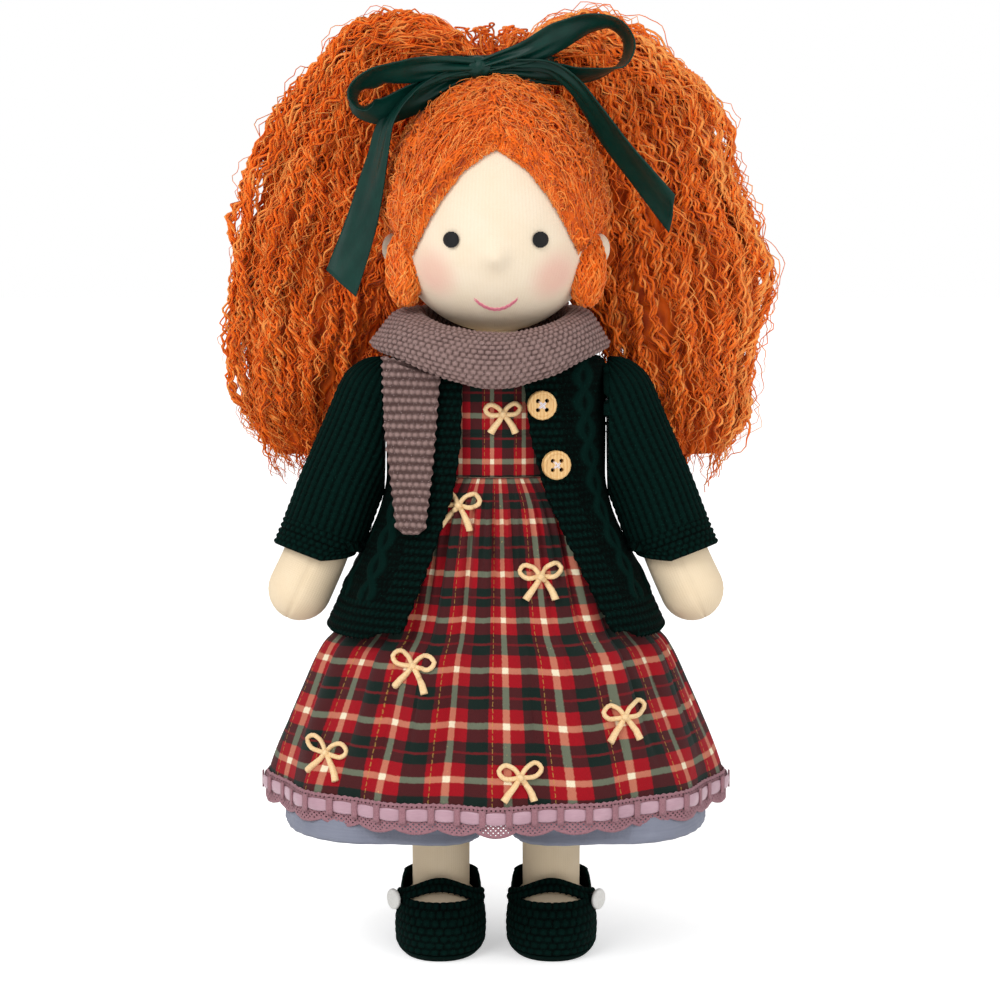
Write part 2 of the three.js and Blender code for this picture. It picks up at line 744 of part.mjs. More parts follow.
// Arms: each limb is a tube along a gently bent path from the shoulder ball to the mitten hand
const roundedAt = (reach) => sqrt(1 - reach * reach);
const capShares = [0.95, 0.6];
const limb = (places) => {
  const end = (from, to) => {
    const out = to.point.clone().sub(from.point).normalize();
    return capShares.map((share) => ({
      point: to.point.clone().addScaledVector(out, to.radius * share),
      radius: to.radius * roundedAt(share),
    }));
  };
  const first = end(places[1], places[0]);
  const last = end(places[places.length - 2], places[places.length - 1]).reverse();
  return [...first, ...places, ...last];
};
const armShares = [
  [0.00, 0.05, 0.00, 1.00],
  [0.16, 0.22, 0.12, 1.00],
  [0.39, 0.50, 0.40, 0.94],
  [0.57, 0.68, 0.66, 0.91],
  [0.72, 0.83, 0.86, 0.90],
  [0.86, 1.00, 1.00, 0.915],
];
const armAt = (side, grow) => armShares.map(([down, out, forward, thick]) => ({
  point: v3(
    side * (shoulderHalfWidth + out * armSpread),
    -forward * armForward,
    shoulderHeight - down * armLength,
  ),
  radius: armRadius * thick + grow,
}));
const sleeveAt = (side, grow) => {
  const cuff = cuffRadius - armRadius - sleeveThickness;
  return armAt(side, seatGap + grow).map(({ point, radius }, i) => {
    const share = i / (armShares.length - 1);
    return { point, radius: radius + cuff * share + (armRadius * (1 - armShares[i][3])) * share };
  });
};
const armSteps = 10;
const cuffHeight = shoulderHeight - armLength * cuffLengthShare;

// What the arms may sweep: everything beyond this reach, turned about the shoulder axis
const reachShares = [
  [0.00, 0.00],
  [0.44, 0.00],
  [0.73, 0.25],
  [0.76, 0.50],
  [0.83, 0.575],
  [1.09, 0.575],
];
const roomSteps = 24;
const armRoom = (side, grow) => {
  const outerX = shoulderHalfWidth + armSpread + 2 * armRadius;
  const profile = reachShares.map(([radius, out]) =>
    new THREE.Vector2(radius * armLength, shoulderHalfWidth + out * armSpread - grow));
  const widest = profile[profile.length - 1];
  profile.push(new THREE.Vector2(widest.x + grow, widest.y));
  profile.push(new THREE.Vector2(widest.x + grow, outerX), new THREE.Vector2(0, outerX));
  const turned = new THREE.LatheGeometry(profile, roomSteps).rotateZ(-PI / 2).scale(side, 1, 1);
  return solidOf(turned.translate(0, 0, shoulderHeight));
};
const limbReach = 2 * armRadius;
const acrossBody = (side, fromX, toX, lowZ, highZ) => block(
  v3(min(side * fromX, side * toX), -limbReach, lowZ),
  v3(max(side * fromX, side * toX), limbReach, highZ),
);
for (const [name, side] of Object.entries(sides)) {
  const room = armRoom(side, 0);
  const outer = tubeAlong(limb(armAt(side, 0)), armSteps);
  const inner = tubeAlong(limb(armAt(side, -skinThickness)), armSteps);
  const wool = tubeAlong(limb(armAt(side, -skinThickness - seatGap)), armSteps);
  const skinEnd = shoulderHalfWidth + skinThickness;
  const endWall = acrossBody(side, shoulderHalfWidth, skinEnd, cuffHeight, neckTop);
  const woolEnd = acrossBody(side, 0, skinEnd + seatGap, cuffHeight, neckTop);
  const skin = outer.subtract(inner.subtract(endWall)).intersect(room).subtract(shoulderBore);
  add(`arm_skin_${name}`, skin, skinKnit);
  const knotHole = knotAt(shoulderCentre(1), side * shoulderKnotX, knotRadius + seatGap);
  add(`arm_stuffing_${name}`, wool.subtract(woolEnd).subtract(shoulderBore).subtract(knotHole), woolStuffing);
  const sleeveOuter = tubeAlong(limb(sleeveAt(side, sleeveThickness)), armSteps);
  const sleeveInner = tubeAlong(limb(sleeveAt(side, 0)), armSteps);
  const below = acrossBody(side, 0, maneHalfWidth, 0, cuffHeight);
  add(`sleeve_${name}`, sleeveOuter.subtract(sleeveInner).subtract(below).intersect(room), cardiganYarn);
}

// Shoes: a crocheted shell round the foot, open over the instep, on a sole of its own
const shoeShares = [
  [0.00, 0.90, 0.86, 0.85],
  [0.12, 0.99, 0.98, 0.98],
  [0.34, 0.99, 1.00, 1.00],
  [0.62, 0.78, 0.95, 0.95],
  [0.83, 0.51, 0.90, 0.88],
  [1.00, 0.36, 0.87, 0.83],
];
const shoeShape = { steps: 12, squareness: 2.15 };
const shoeHeelReach = shoeLength - shoeToeReach;
const shoeForm = (side) => Form.eased(shoeShares.map(([rise, front, back, width]) => {
  const toe = -shoeToeReach * front;
  const heel = shoeHeelReach * back;
  return [rise * shoeHeight, shoeHalfWidth * width, (heel - toe) / 2, side * legHalfSpacing, (heel + toe) / 2];
}), levelSpacing, shoeShape);
const footFloor = soleThickness + 2 * seatGap;
const strapBottom = vampHeight + turnGap;
const strapTop = strapBottom + strapWidth;
const strapEndY = -strapForward + shoeHalfWidth / 2;
const legSteps = 10;
const shaftShares = [
  [0.10, 0.95],
  [0.45, 0.97],
  [1.00, 1.00],
];
const crownShares = [0.55, 0.9, 0.995];
const legAt = (side, depth) => {
  const foot = shoeForm(side).grown(-shoeWall - seatGap - depth).solid(footFloor + depth, strapTop - depth);
  const hip = hipCentre(side);
  const shaftAt = (z, radius) => [z, radius, radius, hip.x, hip.y];
  const shaft = shaftShares.map(([rise, thick]) => shaftAt(rise * hipHeight, legRadius * thick - depth));
  const crown = crownShares.map((share) => {
    const radius = legRadius - depth;
    return shaftAt(hipHeight + radius * share, radius * roundedAt(share));
  });
  return foot.add(new Form([...shaft, ...crown], { steps: legSteps }).solid());
};
for (const [name, side] of Object.entries(sides)) {
  const shoe = shoeForm(side);
  const [innerX, outerX] = [side * (legHalfSpacing - 2 * shoeHalfWidth), side * (legHalfSpacing + 2 * shoeHalfWidth)];
  const across = (lowY, lowZ, highY, highZ) =>
    block(v3(min(innerX, outerX), lowY, lowZ), v3(max(innerX, outerX), highY, highZ));
  add(`leg_skin_${name}`, legAt(side, 0).subtract(legAt(side, skinThickness)).subtract(hipBore), skinKnit);
  add(`leg_stuffing_${name}`, legAt(side, stuffingInset).subtract(hipBore), woolStuffing);
  const shell = shoe.solid().subtract(shoe.grown(-shoeWall).solid(-overrun, shoeHeight + overrun));
  const floorCut = across(-shoeLength, -overrun, shoeLength, soleThickness + seatGap);
  const vampCut = across(-shoeLength, vampHeight, strapEndY, shoeHeight + overrun);
  add(`shoe_${name}`, shell.subtract(floorCut).subtract(vampCut), shoeYarn);
  add(`shoe_sole_${name}`, shoe.solid(0, soleThickness), shoeYarn);
  const strapSlab = across(-shoeLength, strapBottom, strapEndY - seatGap, strapTop);
  add(`shoe_strap_${name}`, shell.intersect(strapSlab), shoeYarn);
  const buttonZ = (strapBottom + strapTop) / 2;
  const [, shoeWide] = shoe.at(strapBottom);
  const buttonX = legHalfSpacing + shoeWide;
  const buttonY = strapEndY - shoeButtonRadius - seatGap;
  const shoeButton = rod(
    v3(side * (buttonX - shoeWall), buttonY, buttonZ),
    v3(side * (buttonX + shoeButtonThickness), buttonY, buttonZ),
    shoeButtonRadius,
  );
  add(`shoe_button_${name}`, shoeButton.subtract(shoe.grown(seatGap).solid()), buttonWhite);
}

// Dress: a fitted bodice and a gathered skirt whose folds deepen towards the hem
const armHole = (radius) => rod(
  v3(-shoulderHalfWidth - overrun, 0, shoulderHeight),
  v3(shoulderHalfWidth + overrun, 0, shoulderHeight),
  radius,
  socketSteps,
);
const bodiceTopShare = 0.93;
const bodiceTop = mix(torsoBottom, neckTop, bodiceTopShare);
const bodiceBottom = waistHeight + seatGap;
const bodiceOuter = torso.grown(seatGap + dressCloth);
const armRooms = [armRoom(1, turnGap), armRoom(-1, turnGap)];
const clearOfArms = (solid) => armRooms.reduce((rest, room) => rest.subtract(room), solid);
const bodice = bodiceOuter.solid(bodiceBottom, bodiceTop)
  .subtract(torso.grown(seatGap).solid(bodiceBottom - overrun, neckTop))
  .subtract(armHole(shoulderStubRadius + seatGap));
add('bodice', bodice, tartanCotton);

const hemHeight = waistHeight - skirtLength;
const waistLevel = torso.at(waistHeight);
const skirtShares = [
  [0.000, 1.000, 1.000],
  [0.160, 0.954, 0.954],
  [0.320, 0.870, 0.872],
  [0.449, 0.786, 0.790],
  [0.520, 0.696, 0.702],
  [0.903, 0.470, 0.478],
];
const foldTop = hemHeight + skirtLength * skirtShares[4][0];
const foldMix = [0.7, 0.3];
const folds = (angle, z) => {
  const depth = foldDepth * min(1, max(0, (foldTop - z) / (foldTop - hemHeight)));
  const narrow = cos(foldCount * angle) * foldMix[0];
  const wide = cos(foldCount / 3 * 2 * angle) * foldMix[1];
  return depth * (narrow + wide - foldMix[1]);
};
const skirtLevels = skirtShares.map(([rise, width, depth]) =>
  [hemHeight + rise * skirtLength, hemHalfWidth * width, hemHalfDepth * depth]);
skirtLevels.push([waistHeight, waistLevel[1] + seatGap + skirtCloth, waistLevel[2] + seatGap + skirtCloth]);
const skirt = new Form(skirtLevels, { steps: skirtSteps, wave: folds });
const shellLoops = (form, thickness, from, to) => {
  const heights = [from, ...form.levels.map(([z]) => z).filter((z) => z > from + leastRise && z < to - leastRise), to];
  const loopAt = (z, inset) => {
    const [, halfWidth, halfDepth] = form.at(z);
    const around = { steps: form.options.steps, wave: (angle) => form.options.wave(angle, z) };
    return oval(z, halfWidth - inset, halfDepth - inset, around);
  };
  return [...heights.map((z) => loopAt(z, 0)), ...heights.reverse().map((z) => loopAt(z, thickness))];
};
add('skirt', skinLoops(shellLoops(skirt, skirtCloth, hemHeight, waistHeight), true), tartanCotton);

// Lace round the hem, with scallops below and a satin ribbon run round its upper part. Both stand
// straight up from the hem's own outline.
const hemBand = (inset, low, high, scallop = 0) => {
  const loopAt = (z, grow) => oval(z, hemHalfWidth + grow, hemHalfDepth + grow, {
    steps: skirtSteps,
    wave: (angle) => folds(angle, hemHeight),
  }).map((p, i) => (z > low ? p : p.setZ(z - scallop * abs(sin(PI * laceScallops * i / skirtSteps)))));
  const { from, thickness } = inset;
  return skinLoops([
    loopAt(low, from + thickness),
    loopAt(high, from + thickness),
    loopAt(high, from),
    loopAt(low, from),
  ], true);
};
const laceTop = hemHeight + laceOverlap;
const laceBottom = laceTop - laceHeight + laceScallopDepth;
const lacePlace = { from: seatGap, thickness: laceThickness };
add('lace_trim', hemBand(lacePlace, laceBottom, laceTop, laceScallopDepth), laceCotton);
const trimPlace = { from: 2 * seatGap + laceThickness, thickness: trimThickness };
const trimTop = laceTop - trimDrop;
add('trim_ribbon', hemBand(trimPlace, trimTop - trimWidth, trimTop), trimSatin);

// Bloomers: a waist part over the hips and two wide legs
const bloomerTop = waistHeight - bloomerTopDrop;
const crotchHeight = torsoBottom - turnGap;
const bloomerTopLevel = torso.at(bloomerTop);
const bloomerSteps = 16;
const bloomerWaistShares = [
  [0.00, 1.00, 1.00],
  [0.50, 0.97, 0.98],
];
const bloomerWaistRows = bloomerWaistShares.map(([rise, width, depth]) =>
  [mix(crotchHeight, bloomerTop, rise), bloomerHipHalfWidth * width, bloomerHipHalfDepth * depth]);
const bloomerSnug = seatGap + bloomerCloth;
bloomerWaistRows.push([bloomerTop, bloomerTopLevel[1] + bloomerSnug, bloomerTopLevel[2] + bloomerSnug]);
const bloomerWaist = Form.eased(bloomerWaistRows, levelSpacing, { steps: bloomerSteps });
const bloomerLegShape = { steps: bloomerSteps, squareness: 2.3 };
const bloomerBody = bloomerWaist.solid().subtract(bloomerWaist.grown(-bloomerCloth)
  .solid(crotchHeight - overrun, bloomerTop + overrun));
add('bloomers_waist', bloomerBody.subtract(torso.grown(seatGap).solid()), bloomerCotton);
const bloomerHem = crotchHeight - bloomerLegLength;
const bloomerLegTopHalfWidth = (bloomerHipHalfWidth - bloomerInnerGap) / 2;
const bloomerLegShares = [
  [0.00, 0.96, 0.97],
  [0.12, 1.00, 1.00],
  [0.42, 0.72, 0.78],
  [0.72, 0.34, 0.30],
  [1.00, 0.00, 0.00],
];
for (const [name, side] of Object.entries(sides)) {
  const rows = bloomerLegShares.map(([rise, wide, deep]) => {
    const halfWidth = mix(bloomerLegTopHalfWidth, bloomerHemHalfWidth, wide);
    const halfDepth = mix(bloomerHipHalfDepth, bloomerHemHalfDepth, deep);
    return [
      mix(bloomerHem, crotchHeight - seatGap, rise),
      halfWidth,
      halfDepth,
      side * (bloomerInnerGap + halfWidth),
      0,
    ];
  });
  const cloth = Form.eased(rows, 2 * levelSpacing, bloomerLegShape);
  const leg = cloth.solid().subtract(cloth.grown(-bloomerCloth).solid(bloomerHem - overrun, crotchHeight + overrun));
  add(`bloomers_leg_${name}`, leg, bloomerCotton);
}

// Cardigan: one knitted shell over the dress, cut into a back and two fronts that hang open
const cardiganTop = shoulderHeight + collarRise;
const cardiganBottom = cardiganTop - cardiganLength - cardiganFrontDrop;
const cardiganDepthShare = 0.63;
const hemDepthShare = 0.83;
const necklineDepthShare = 0.84;
const cardiganShares = [
  [0.00, 1.00, 1.00],
  [0.10, 1.00, 1.00],
  [0.22, 0.95, 0.97],
  [0.34, 0.45, 0.75],
  [0.45, 0.08, 0.40],
  [0.57, 0.00, 0.08],
  [0.84, 0.02, 0.00],
];
const cardiganRows = cardiganShares.map(([rise, flare, deep]) => [
  mix(cardiganBottom, cardiganTop, rise),
  mix(cardiganWaistHalfWidth, cardiganHemHalfWidth, flare),
  mix(cardiganChestHalfWidth * cardiganDepthShare, cardiganHemHalfWidth * hemDepthShare, deep),
]);
const cardiganShoulderShares = [
  [0.92, 0.97, 0.97],
  [0.97, 0.86, 0.88],
];
cardiganShoulderShares.forEach(([rise, width, depth]) => cardiganRows.push([
  mix(cardiganBottom, cardiganTop, rise),
  cardiganChestHalfWidth * width,
  cardiganChestHalfWidth * cardiganDepthShare * depth,
]));
cardiganRows.push([
  cardiganTop,
  necklineHalfWidth + knitThickness,
  (necklineHalfWidth + knitThickness) * necklineDepthShare,
]);
const cardiganSteps = 20;
const cardiganSquareness = 2.5;
const cardiganSpacing = 6;
const cardiganShape = Form.eased(cardiganRows, cardiganSpacing);
const under = (z) => (z < bodiceBottom ? skirt.at(z) : bodiceOuter.at(z));
const shoulderHeights = cardiganShoulderShares.map(([rise]) => mix(cardiganBottom, cardiganTop, rise));
const cardiganHeights = [
  ...skirt.levels.map(([z]) => z).filter((z) => z < waistHeight - knitThickness),
  waistHeight,
  ...torso.levels.map(([z]) => z).filter((z) => z > waistHeight + knitThickness && z < shoulderHeights[0] - knitThickness / 3),
  ...shoulderHeights,
].filter((z) => z > cardiganBottom + knitThickness);
const cardiganLevels = [cardiganBottom, ...cardiganHeights, cardiganTop].map((z) => {
  const [, ownWidth, ownDepth] = cardiganShape.at(z);
  const [, underWidth, underDepth] = under(z);
  const around = 1 / cos(PI / cardiganSteps);
  return [
    z,
    max(ownWidth - knitThickness, (underWidth + seatGap) * around),
    max(ownDepth - knitThickness, (underDepth + seatGap) * around),
  ];
});
const cardiganInner = new Form(cardiganLevels, { steps: cardiganSteps, squareness: cardiganSquareness });
const cardiganOuter = cardiganInner.grown(knitThickness);
const openingShares = [
  [1.06, -0.30, 0.25],
  [0.93, -0.30, 0.25],
  [0.72, -0.31, 0.30],
  [0.57, -0.35, 0.39],
  [0.40, -0.47, 0.56],
  [0.23, -0.61, 0.76],
  [0.04, -0.80, 1.00],
  [-0.06, -0.90, 1.12],
];
const openingEdge = (column) => openingShares.map((row) =>
  [row[column] * cardiganChestHalfWidth, mix(cardiganBottom, cardiganTop, row[0])]);
const openingCut = frontPrism([...openingEdge(1), ...openingEdge(2).reverse()], -2 * hemHalfDepth, 0);
const hemCorner = cardiganBottom + cardiganFrontDrop;
const hemCut = (innerX, innerZ, fromY, toY) => {
  const edge = [[innerX, innerZ], [cardiganHemHalfWidth, hemCorner], [2 * hemHalfWidth, hemCorner]];
  const foot = [[2 * hemHalfWidth, cardiganBottom - overrun], [-2 * hemHalfWidth, cardiganBottom - overrun]];
  const mirrored = edge.map(([x, z]) => [-x, z]).reverse();
  return frontPrism([...edge, ...foot, ...mirrored], fromY, toY);
};
const backHemCut = hemCut(leastRise, hemCorner, 0, 2 * hemHalfDepth);
const frontHemCut = hemCut(openingShares[6][2] * cardiganChestHalfWidth, cardiganBottom, -2 * hemHalfDepth, 0);
const cardiganShell = clearOfArms(cardiganOuter.solid()
  .subtract(cardiganInner.solid(cardiganBottom - overrun, cardiganTop + overrun))
  .subtract(torso.grown(seatGap).solid())
  .subtract(armHole(shoulderStubRadius + seatGap)));
const half = (fromY, toY, fromX = -2 * hemHalfWidth, toX = 2 * hemHalfWidth) =>
  block(v3(fromX, fromY, cardiganBottom - overrun), v3(toX, toY, cardiganTop + overrun));
const seam = seatGap / 2;
const cardiganBack = cardiganShell.intersect(half(seam, 2 * hemHalfDepth)).subtract(backHemCut);
add('cardigan_back', cardiganBack, cardiganYarn);
const cardiganFront = cardiganShell.intersect(half(-2 * hemHalfDepth, -seam))
  .subtract(openingCut).subtract(frontHemCut);
add('cardigan_front_left', cardiganFront.intersect(half(-2 * hemHalfDepth, 0, 0)), cardiganYarn);
add('cardigan_front_right', cardiganFront.intersect(half(-2 * hemHalfDepth, 0, -2 * hemHalfWidth, 0)), cardiganYarn);

// Two wooden buttons on the left front's band, each sewn on through four holes
const upperInShare = 0.75;
const holeSides = 6;
const stitchSides = 4;
const buttonSides = 16;
const buttonPlaces = {
  upper: { x: openingShares[2][2] * cardiganChestHalfWidth + buttonRadius * upperInShare, z: shoulderHeight },
  lower: { x: openingShares[3][2] * cardiganChestHalfWidth + buttonRadius, z: waistHeight + buttonRadius },
};
for (const [name, { x, z }] of Object.entries(buttonPlaces)) {
  const { point, out } = cardiganOuter.front(x, z);
  const sidewards = v3(0, 0, 1).cross(out).normalize();
  const upwards = out.clone().cross(sidewards);
  const rest = point.clone().addScaledVector(out, seatGap);
  const face = rest.clone().addScaledVector(out, buttonThickness);
  const holes = [[1, 1], [1, -1], [-1, -1], [-1, 1]].map(([a, b]) =>
    sidewards.clone().multiplyScalar(a * buttonHoleSpacing).addScaledVector(upwards, b * buttonHoleSpacing));
  let disc = rod(rest, face, buttonRadius, buttonSides);
  let sewing = null;
  const stitchTop = face.clone().addScaledVector(out, seatGap + buttonThreadRadius);
  for (const hole of holes) {
    const back = rest.clone().add(hole);
    disc = disc.subtract(rod(
      back.clone().addScaledVector(out, -overrun),
      face.clone().add(hole).addScaledVector(out, overrun),
      buttonHoleRadius,
      holeSides,
    ));
    const leg = rod(back, stitchTop.clone().add(hole), buttonThreadRadius, stitchSides);
    sewing = sewing ? sewing.add(leg) : leg;
  }
  for (const [from, to] of [[0, 2], [1, 3]]) {
    const [start, end] = [stitchTop.clone().add(holes[from]), stitchTop.clone().add(holes[to])];
    sewing = sewing.add(rod(start, end, buttonThreadRadius, stitchSides));
  }
  add(`button_${name}`, disc, buttonWood);
  add(`button_thread_${name}`, sewing, sewingThread);
}

// Scarf: a thick wrap round the neck that dips at the front, and a tail that hangs from under it
const wrapSteps = 20;
const wrapBase = neckTop;
const dropPower = 2.2;
const risePower = 1.5;
const sectionShares = [[0, 0.15], [0, 0.88], [0.16, 1], [0.6, 0.92], [0.96, 0.5], [0.92, 0.04], [0.5, 0]];
const wrapSection = (i) => {
  const angle = 2 * PI * i / wrapSteps;
  const ahead = max(0, -sin(angle));
  const behind = max(0, sin(angle));
  const low = wrapBase - mix(scarfSideDrop, scarfFrontDrop, ahead ** dropPower);
  const high = wrapBase + mix(scarfSideRise, scarfFrontRise, ahead ** risePower);
  const reach = mix(scarfFrontReach, scarfBackReach, behind > 0 ? 1 : 0);
  const loopPoint = (outShare, upShare) => {
    const halfWidth = mix(scarfInnerHalfWidth, scarfHalfWidth, outShare);
    const halfDepth = mix(scarfInnerHalfDepth, reach, outShare);
    return v3(halfWidth * cos(angle), halfDepth * sin(angle), mix(low, high, upShare));
  };
  return sectionShares.map(([out, up]) => loopPoint(out, up));
};
const wrapRing = skinLoops(Array.from({ length: wrapSteps }, (_, i) => wrapSection(i)), true);
const sweepSteps = 20;
const sweepRings = 14;
const sweepRadius = headHalfDepth + capThickness;
const sweepRadii = v3(sweepRadius, sweepRadius, eyeHeight - headBottom + 2 * turnGap);
const headSweep = ball(v3(0, 0, eyeHeight), sweepRadii, sweepSteps, sweepRings);
const wrap = wrapRing.subtract(cardiganOuter.grown(seatGap).solid(cardiganBottom, cardiganTop))
  .subtract(torso.grown(seatGap).solid())
  .subtract(headSweep);
add('scarf_wrap', wrap, scarfYarn);

const tailTop = wrapBase - scarfSideDrop - knitThickness;
const tailSteps = 6;
const tailChest = shoulderHeight;
const tailTurn = 0.22;
const tailLean = v3(1, -tailTurn, 0).normalize();
const tailOut = v3(0, 0, 1).cross(tailLean).negate();
const tailStations = Array.from({ length: tailSteps + 1 }, (_, i) => {
  const share = i / tailSteps;
  const z = tailTop - share * tailLength;
  const x = -tailOffset + share * knitThickness;
  const halfWidth = mix(tailTopWidth, tailTipWidth, share) / 2;
  const touching = [-1, 0, 1].map((k) => {
    const edge = tailLean.clone().multiplyScalar(k * halfWidth);
    return cardiganOuter.front(x + edge.x, min(z, tailChest)).point.y - edge.y;
  });
  const y = min(...touching) - seatGap - tailThickness / 2;
  return { point: v3(x, y, z), across: tailLean.clone().multiplyScalar(halfWidth), out: tailOut };
});
const scarfTail = stripAlong(tailStations, tailThickness)
  .subtract(cardiganOuter.grown(seatGap).solid(cardiganBottom, cardiganTop));
const liftGap = tailThickness / 2;
const loweredWrap = wrapRing.translate(0, 0, -liftGap);
const forwardWrap = wrapRing.translate(0, -liftGap, 0);
add('scarf_tail', scarfTail.subtract(wrapRing).subtract(loweredWrap).subtract(forwardWrap), scarfYarn);

export default doll;
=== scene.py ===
# %% [markdown]
# # A cloth doll with a crimped mohair ponytail
# The doll is sewn and knitted by hand. This notebook builds how it looks, piece by piece, in the same
# frame as its CAD model: metres, +Z up, the doll facing -Y, its own left on +X. Tables below are in
# millimetres, the unit a doll maker measures in, and are turned into metres when a mesh is made.

import math

import bpy
import numpy as np
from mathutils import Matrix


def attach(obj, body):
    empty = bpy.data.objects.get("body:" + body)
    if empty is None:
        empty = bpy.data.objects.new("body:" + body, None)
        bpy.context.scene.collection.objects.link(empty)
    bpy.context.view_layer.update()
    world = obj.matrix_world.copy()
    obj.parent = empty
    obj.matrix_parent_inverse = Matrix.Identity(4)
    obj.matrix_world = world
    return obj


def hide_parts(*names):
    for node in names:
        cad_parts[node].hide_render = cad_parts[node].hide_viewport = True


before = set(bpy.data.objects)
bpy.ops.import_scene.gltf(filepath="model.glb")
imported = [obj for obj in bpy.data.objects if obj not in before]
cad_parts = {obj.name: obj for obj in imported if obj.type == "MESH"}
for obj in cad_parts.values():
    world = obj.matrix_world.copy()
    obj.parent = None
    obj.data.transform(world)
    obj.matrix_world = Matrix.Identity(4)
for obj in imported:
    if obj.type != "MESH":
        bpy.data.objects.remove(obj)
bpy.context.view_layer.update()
MM = 0.001
SIDES = (("left", 1), ("right", -1))

# %% [markdown]
# ## The camera
# The photograph was taken from a little above the doll's middle with a long lens. The camera could be
# set by eye. Its distance, tilt and aim were worked out from the eyes, the hem, the cuffs and the shoes
# instead, so that the picture and the photograph can be compared edge by edge.

# %% The camera and its lens
CAMERA_DISTANCE = 1150
CAMERA_TILT = math.radians(6.5)
CAMERA_AIM = np.array([1.6, 0, 180.7])
LENS_LENGTH = 103.5
lens = bpy.data.cameras.new("camera")
lens.lens = LENS_LENGTH
camera = bpy.data.objects.new("camera", lens)
bpy.context.scene.collection.objects.link(camera)
bpy.context.scene.camera = camera
bpy.context.scene.view_settings.view_transform = "Standard"
camera_reach = np.array([0, -math.cos(CAMERA_TILT), math.sin(CAMERA_TILT)]) * CAMERA_DISTANCE
camera.location = (CAMERA_AIM + camera_reach) * MM
camera.rotation_euler = (math.pi / 2 - CAMERA_TILT, 0, 0)
print("camera at", [round(v, 3) for v in camera.location])

# %% [markdown]
# ## Curves, grids and pieces
# Most of the doll is cloth pulled round a soft form. It could be sculpted by hand, but a form is
# written here as a table of heights with its half width and half depth there, joined by a smooth
# curve, because then each size can be read and changed in millimetres.


# %% Smooth curves through a few sizes
def curve(x, y, slope, at):
    """Reads the smooth curve through rows y at places x, which has these slopes there, at other places."""
    i = np.clip(np.searchsorted(x, at, side="right") - 1, 0, len(x) - 2)
    span = (x[i + 1] - x[i])[..., None]
    t = (at - x[i])[..., None] / span
    return (y[i] * (1 + 2 * t) * (1 - t) ** 2 + slope[i] * span * t * (1 - t) ** 2
            + y[i + 1] * t * t * (3 - 2 * t) + slope[i + 1] * span * t * t * (t - 1))


def eased(table, at):
    """Values of a table's rows [place, value...] at other places, never past the rows' own values."""
    table = np.asarray(table, float)
    x, y = table[:, 0], table[:, 1:]
    rise = np.diff(y, axis=0) / np.diff(x)[:, None]
    slope = np.vstack([rise[:1], np.zeros((len(x) - 2, y.shape[1])), rise[-1:]])
    before, after = rise[:-1], rise[1:]
    same = before * after > 0
    slope[1:-1][same] = (2 * before * after)[same] / (before + after)[same]
    return curve(x, y, slope, np.clip(np.asarray(at, float), x[0], x[-1]))


def way_along(points):
    """How far along a line each of its points lies."""
    return np.concatenate([[0], np.cumsum(np.linalg.norm(np.diff(points, axis=0), axis=1))])


def along(points, count):
    """A smooth line through a few points, as evenly spaced points."""
    points = np.asarray(points, float)
    knots = way_along(points)
    fine = np.linspace(0, knots[-1], 30 * len(points))
    line = curve(knots, points, np.gradient(points, knots, axis=0), fine)
    reach = way_along(line)
    even = np.linspace(0, reach[-1], count)
    return np.stack([np.interp(even, reach, line[:, k]) for k in range(3)], -1)


print("half way between 10 and 20 mm:", eased([[0, 10], [1, 20]], 0.5)[0])

# %% [markdown]
# ### Grids of points
# A sleeve, a skirt and a head are all a grid of points that goes round: columns run round it and rows
# run up. A grid could be drawn point by point in edit mode, but worked out it stays even and can be
# changed by a size. What hands make is never quite even, so some grids get a soft wandering error.


# %% Points round a form
def xyz(x, y, z):
    """Points from their three numbers, which may vary along different directions of a grid."""
    return np.stack(np.broadcast_arrays(x, y, z), -1)


def unit(vectors):
    """The same directions, each one long."""
    return vectors / np.maximum(np.linalg.norm(vectors, axis=-1, keepdims=True), 1e-9)


def smooth(share):
    """From 0 to 1 with a soft start and a soft end."""
    share = np.clip(share, 0, 1)
    return share * share * (3 - 2 * share)


def turns_round(count):
    """Even turns once round."""
    return np.linspace(0, 2 * math.pi, count, endpoint=False)


def crossed(across, up):
    """Two rows of numbers as the two directions of a grid."""
    return np.meshgrid(across, up, indexing="ij")


def over_ball(columns, rows, margin):
    """Turns and tilts of a grid over a ball, open by the margin at its poles."""
    return crossed(turns_round(columns), np.linspace(math.pi - margin, margin, rows))


def ball(turn, tilt, half_x, half_y, half_z):
    """A ball drawn to three half sizes: turn anticlockwise from +X seen from above, tilt from the top."""
    return xyz(half_x * np.sin(tilt) * np.cos(turn), half_y * np.sin(tilt) * np.sin(turn),
               half_z * np.cos(tilt))


def round_at(turn, radius, z, x=0, y=0):
    """Points at a radius round an upright line that stands at x, y."""
    return xyz(x + radius * np.cos(turn), y + radius * np.sin(turn), z)


def closed_round(turn, z):
    """A round grid's turns and heights with the first column again at the end."""
    return np.concatenate([turn, turn[:1] + 2 * math.pi]), np.concatenate([z, z[:1]])


# %% Points made uneven
def uneven(points, size, seed):
    """A soft wandering number from -1 to 1 at each point, for what is never quite even by hand."""
    own = np.random.default_rng(seed)
    total = 0
    for _ in range(5):
        way = unit(own.normal(size=3)) * own.uniform(0.7, 1.5) * 2 * math.pi / size
        total = total + np.sin(points @ way + own.uniform(0, 2 * math.pi))
    return total / 5


def oval(angles, half_width, half_depth, square=2.0):
    """Distance from the middle of a rounded outline, at each angle."""
    return (np.abs(np.cos(angles) / half_width) ** square
            + np.abs(np.sin(angles) / half_depth) ** square) ** (-1 / square)


def outward(points, around):
    """Which way each point of a grid faces: columns run anticlockwise, rows run up."""
    across = np.roll(points, -1, 0) - np.roll(points, 1, 0) if around else np.gradient(points, axis=0)
    return unit(np.cross(across, np.gradient(points, axis=1)))


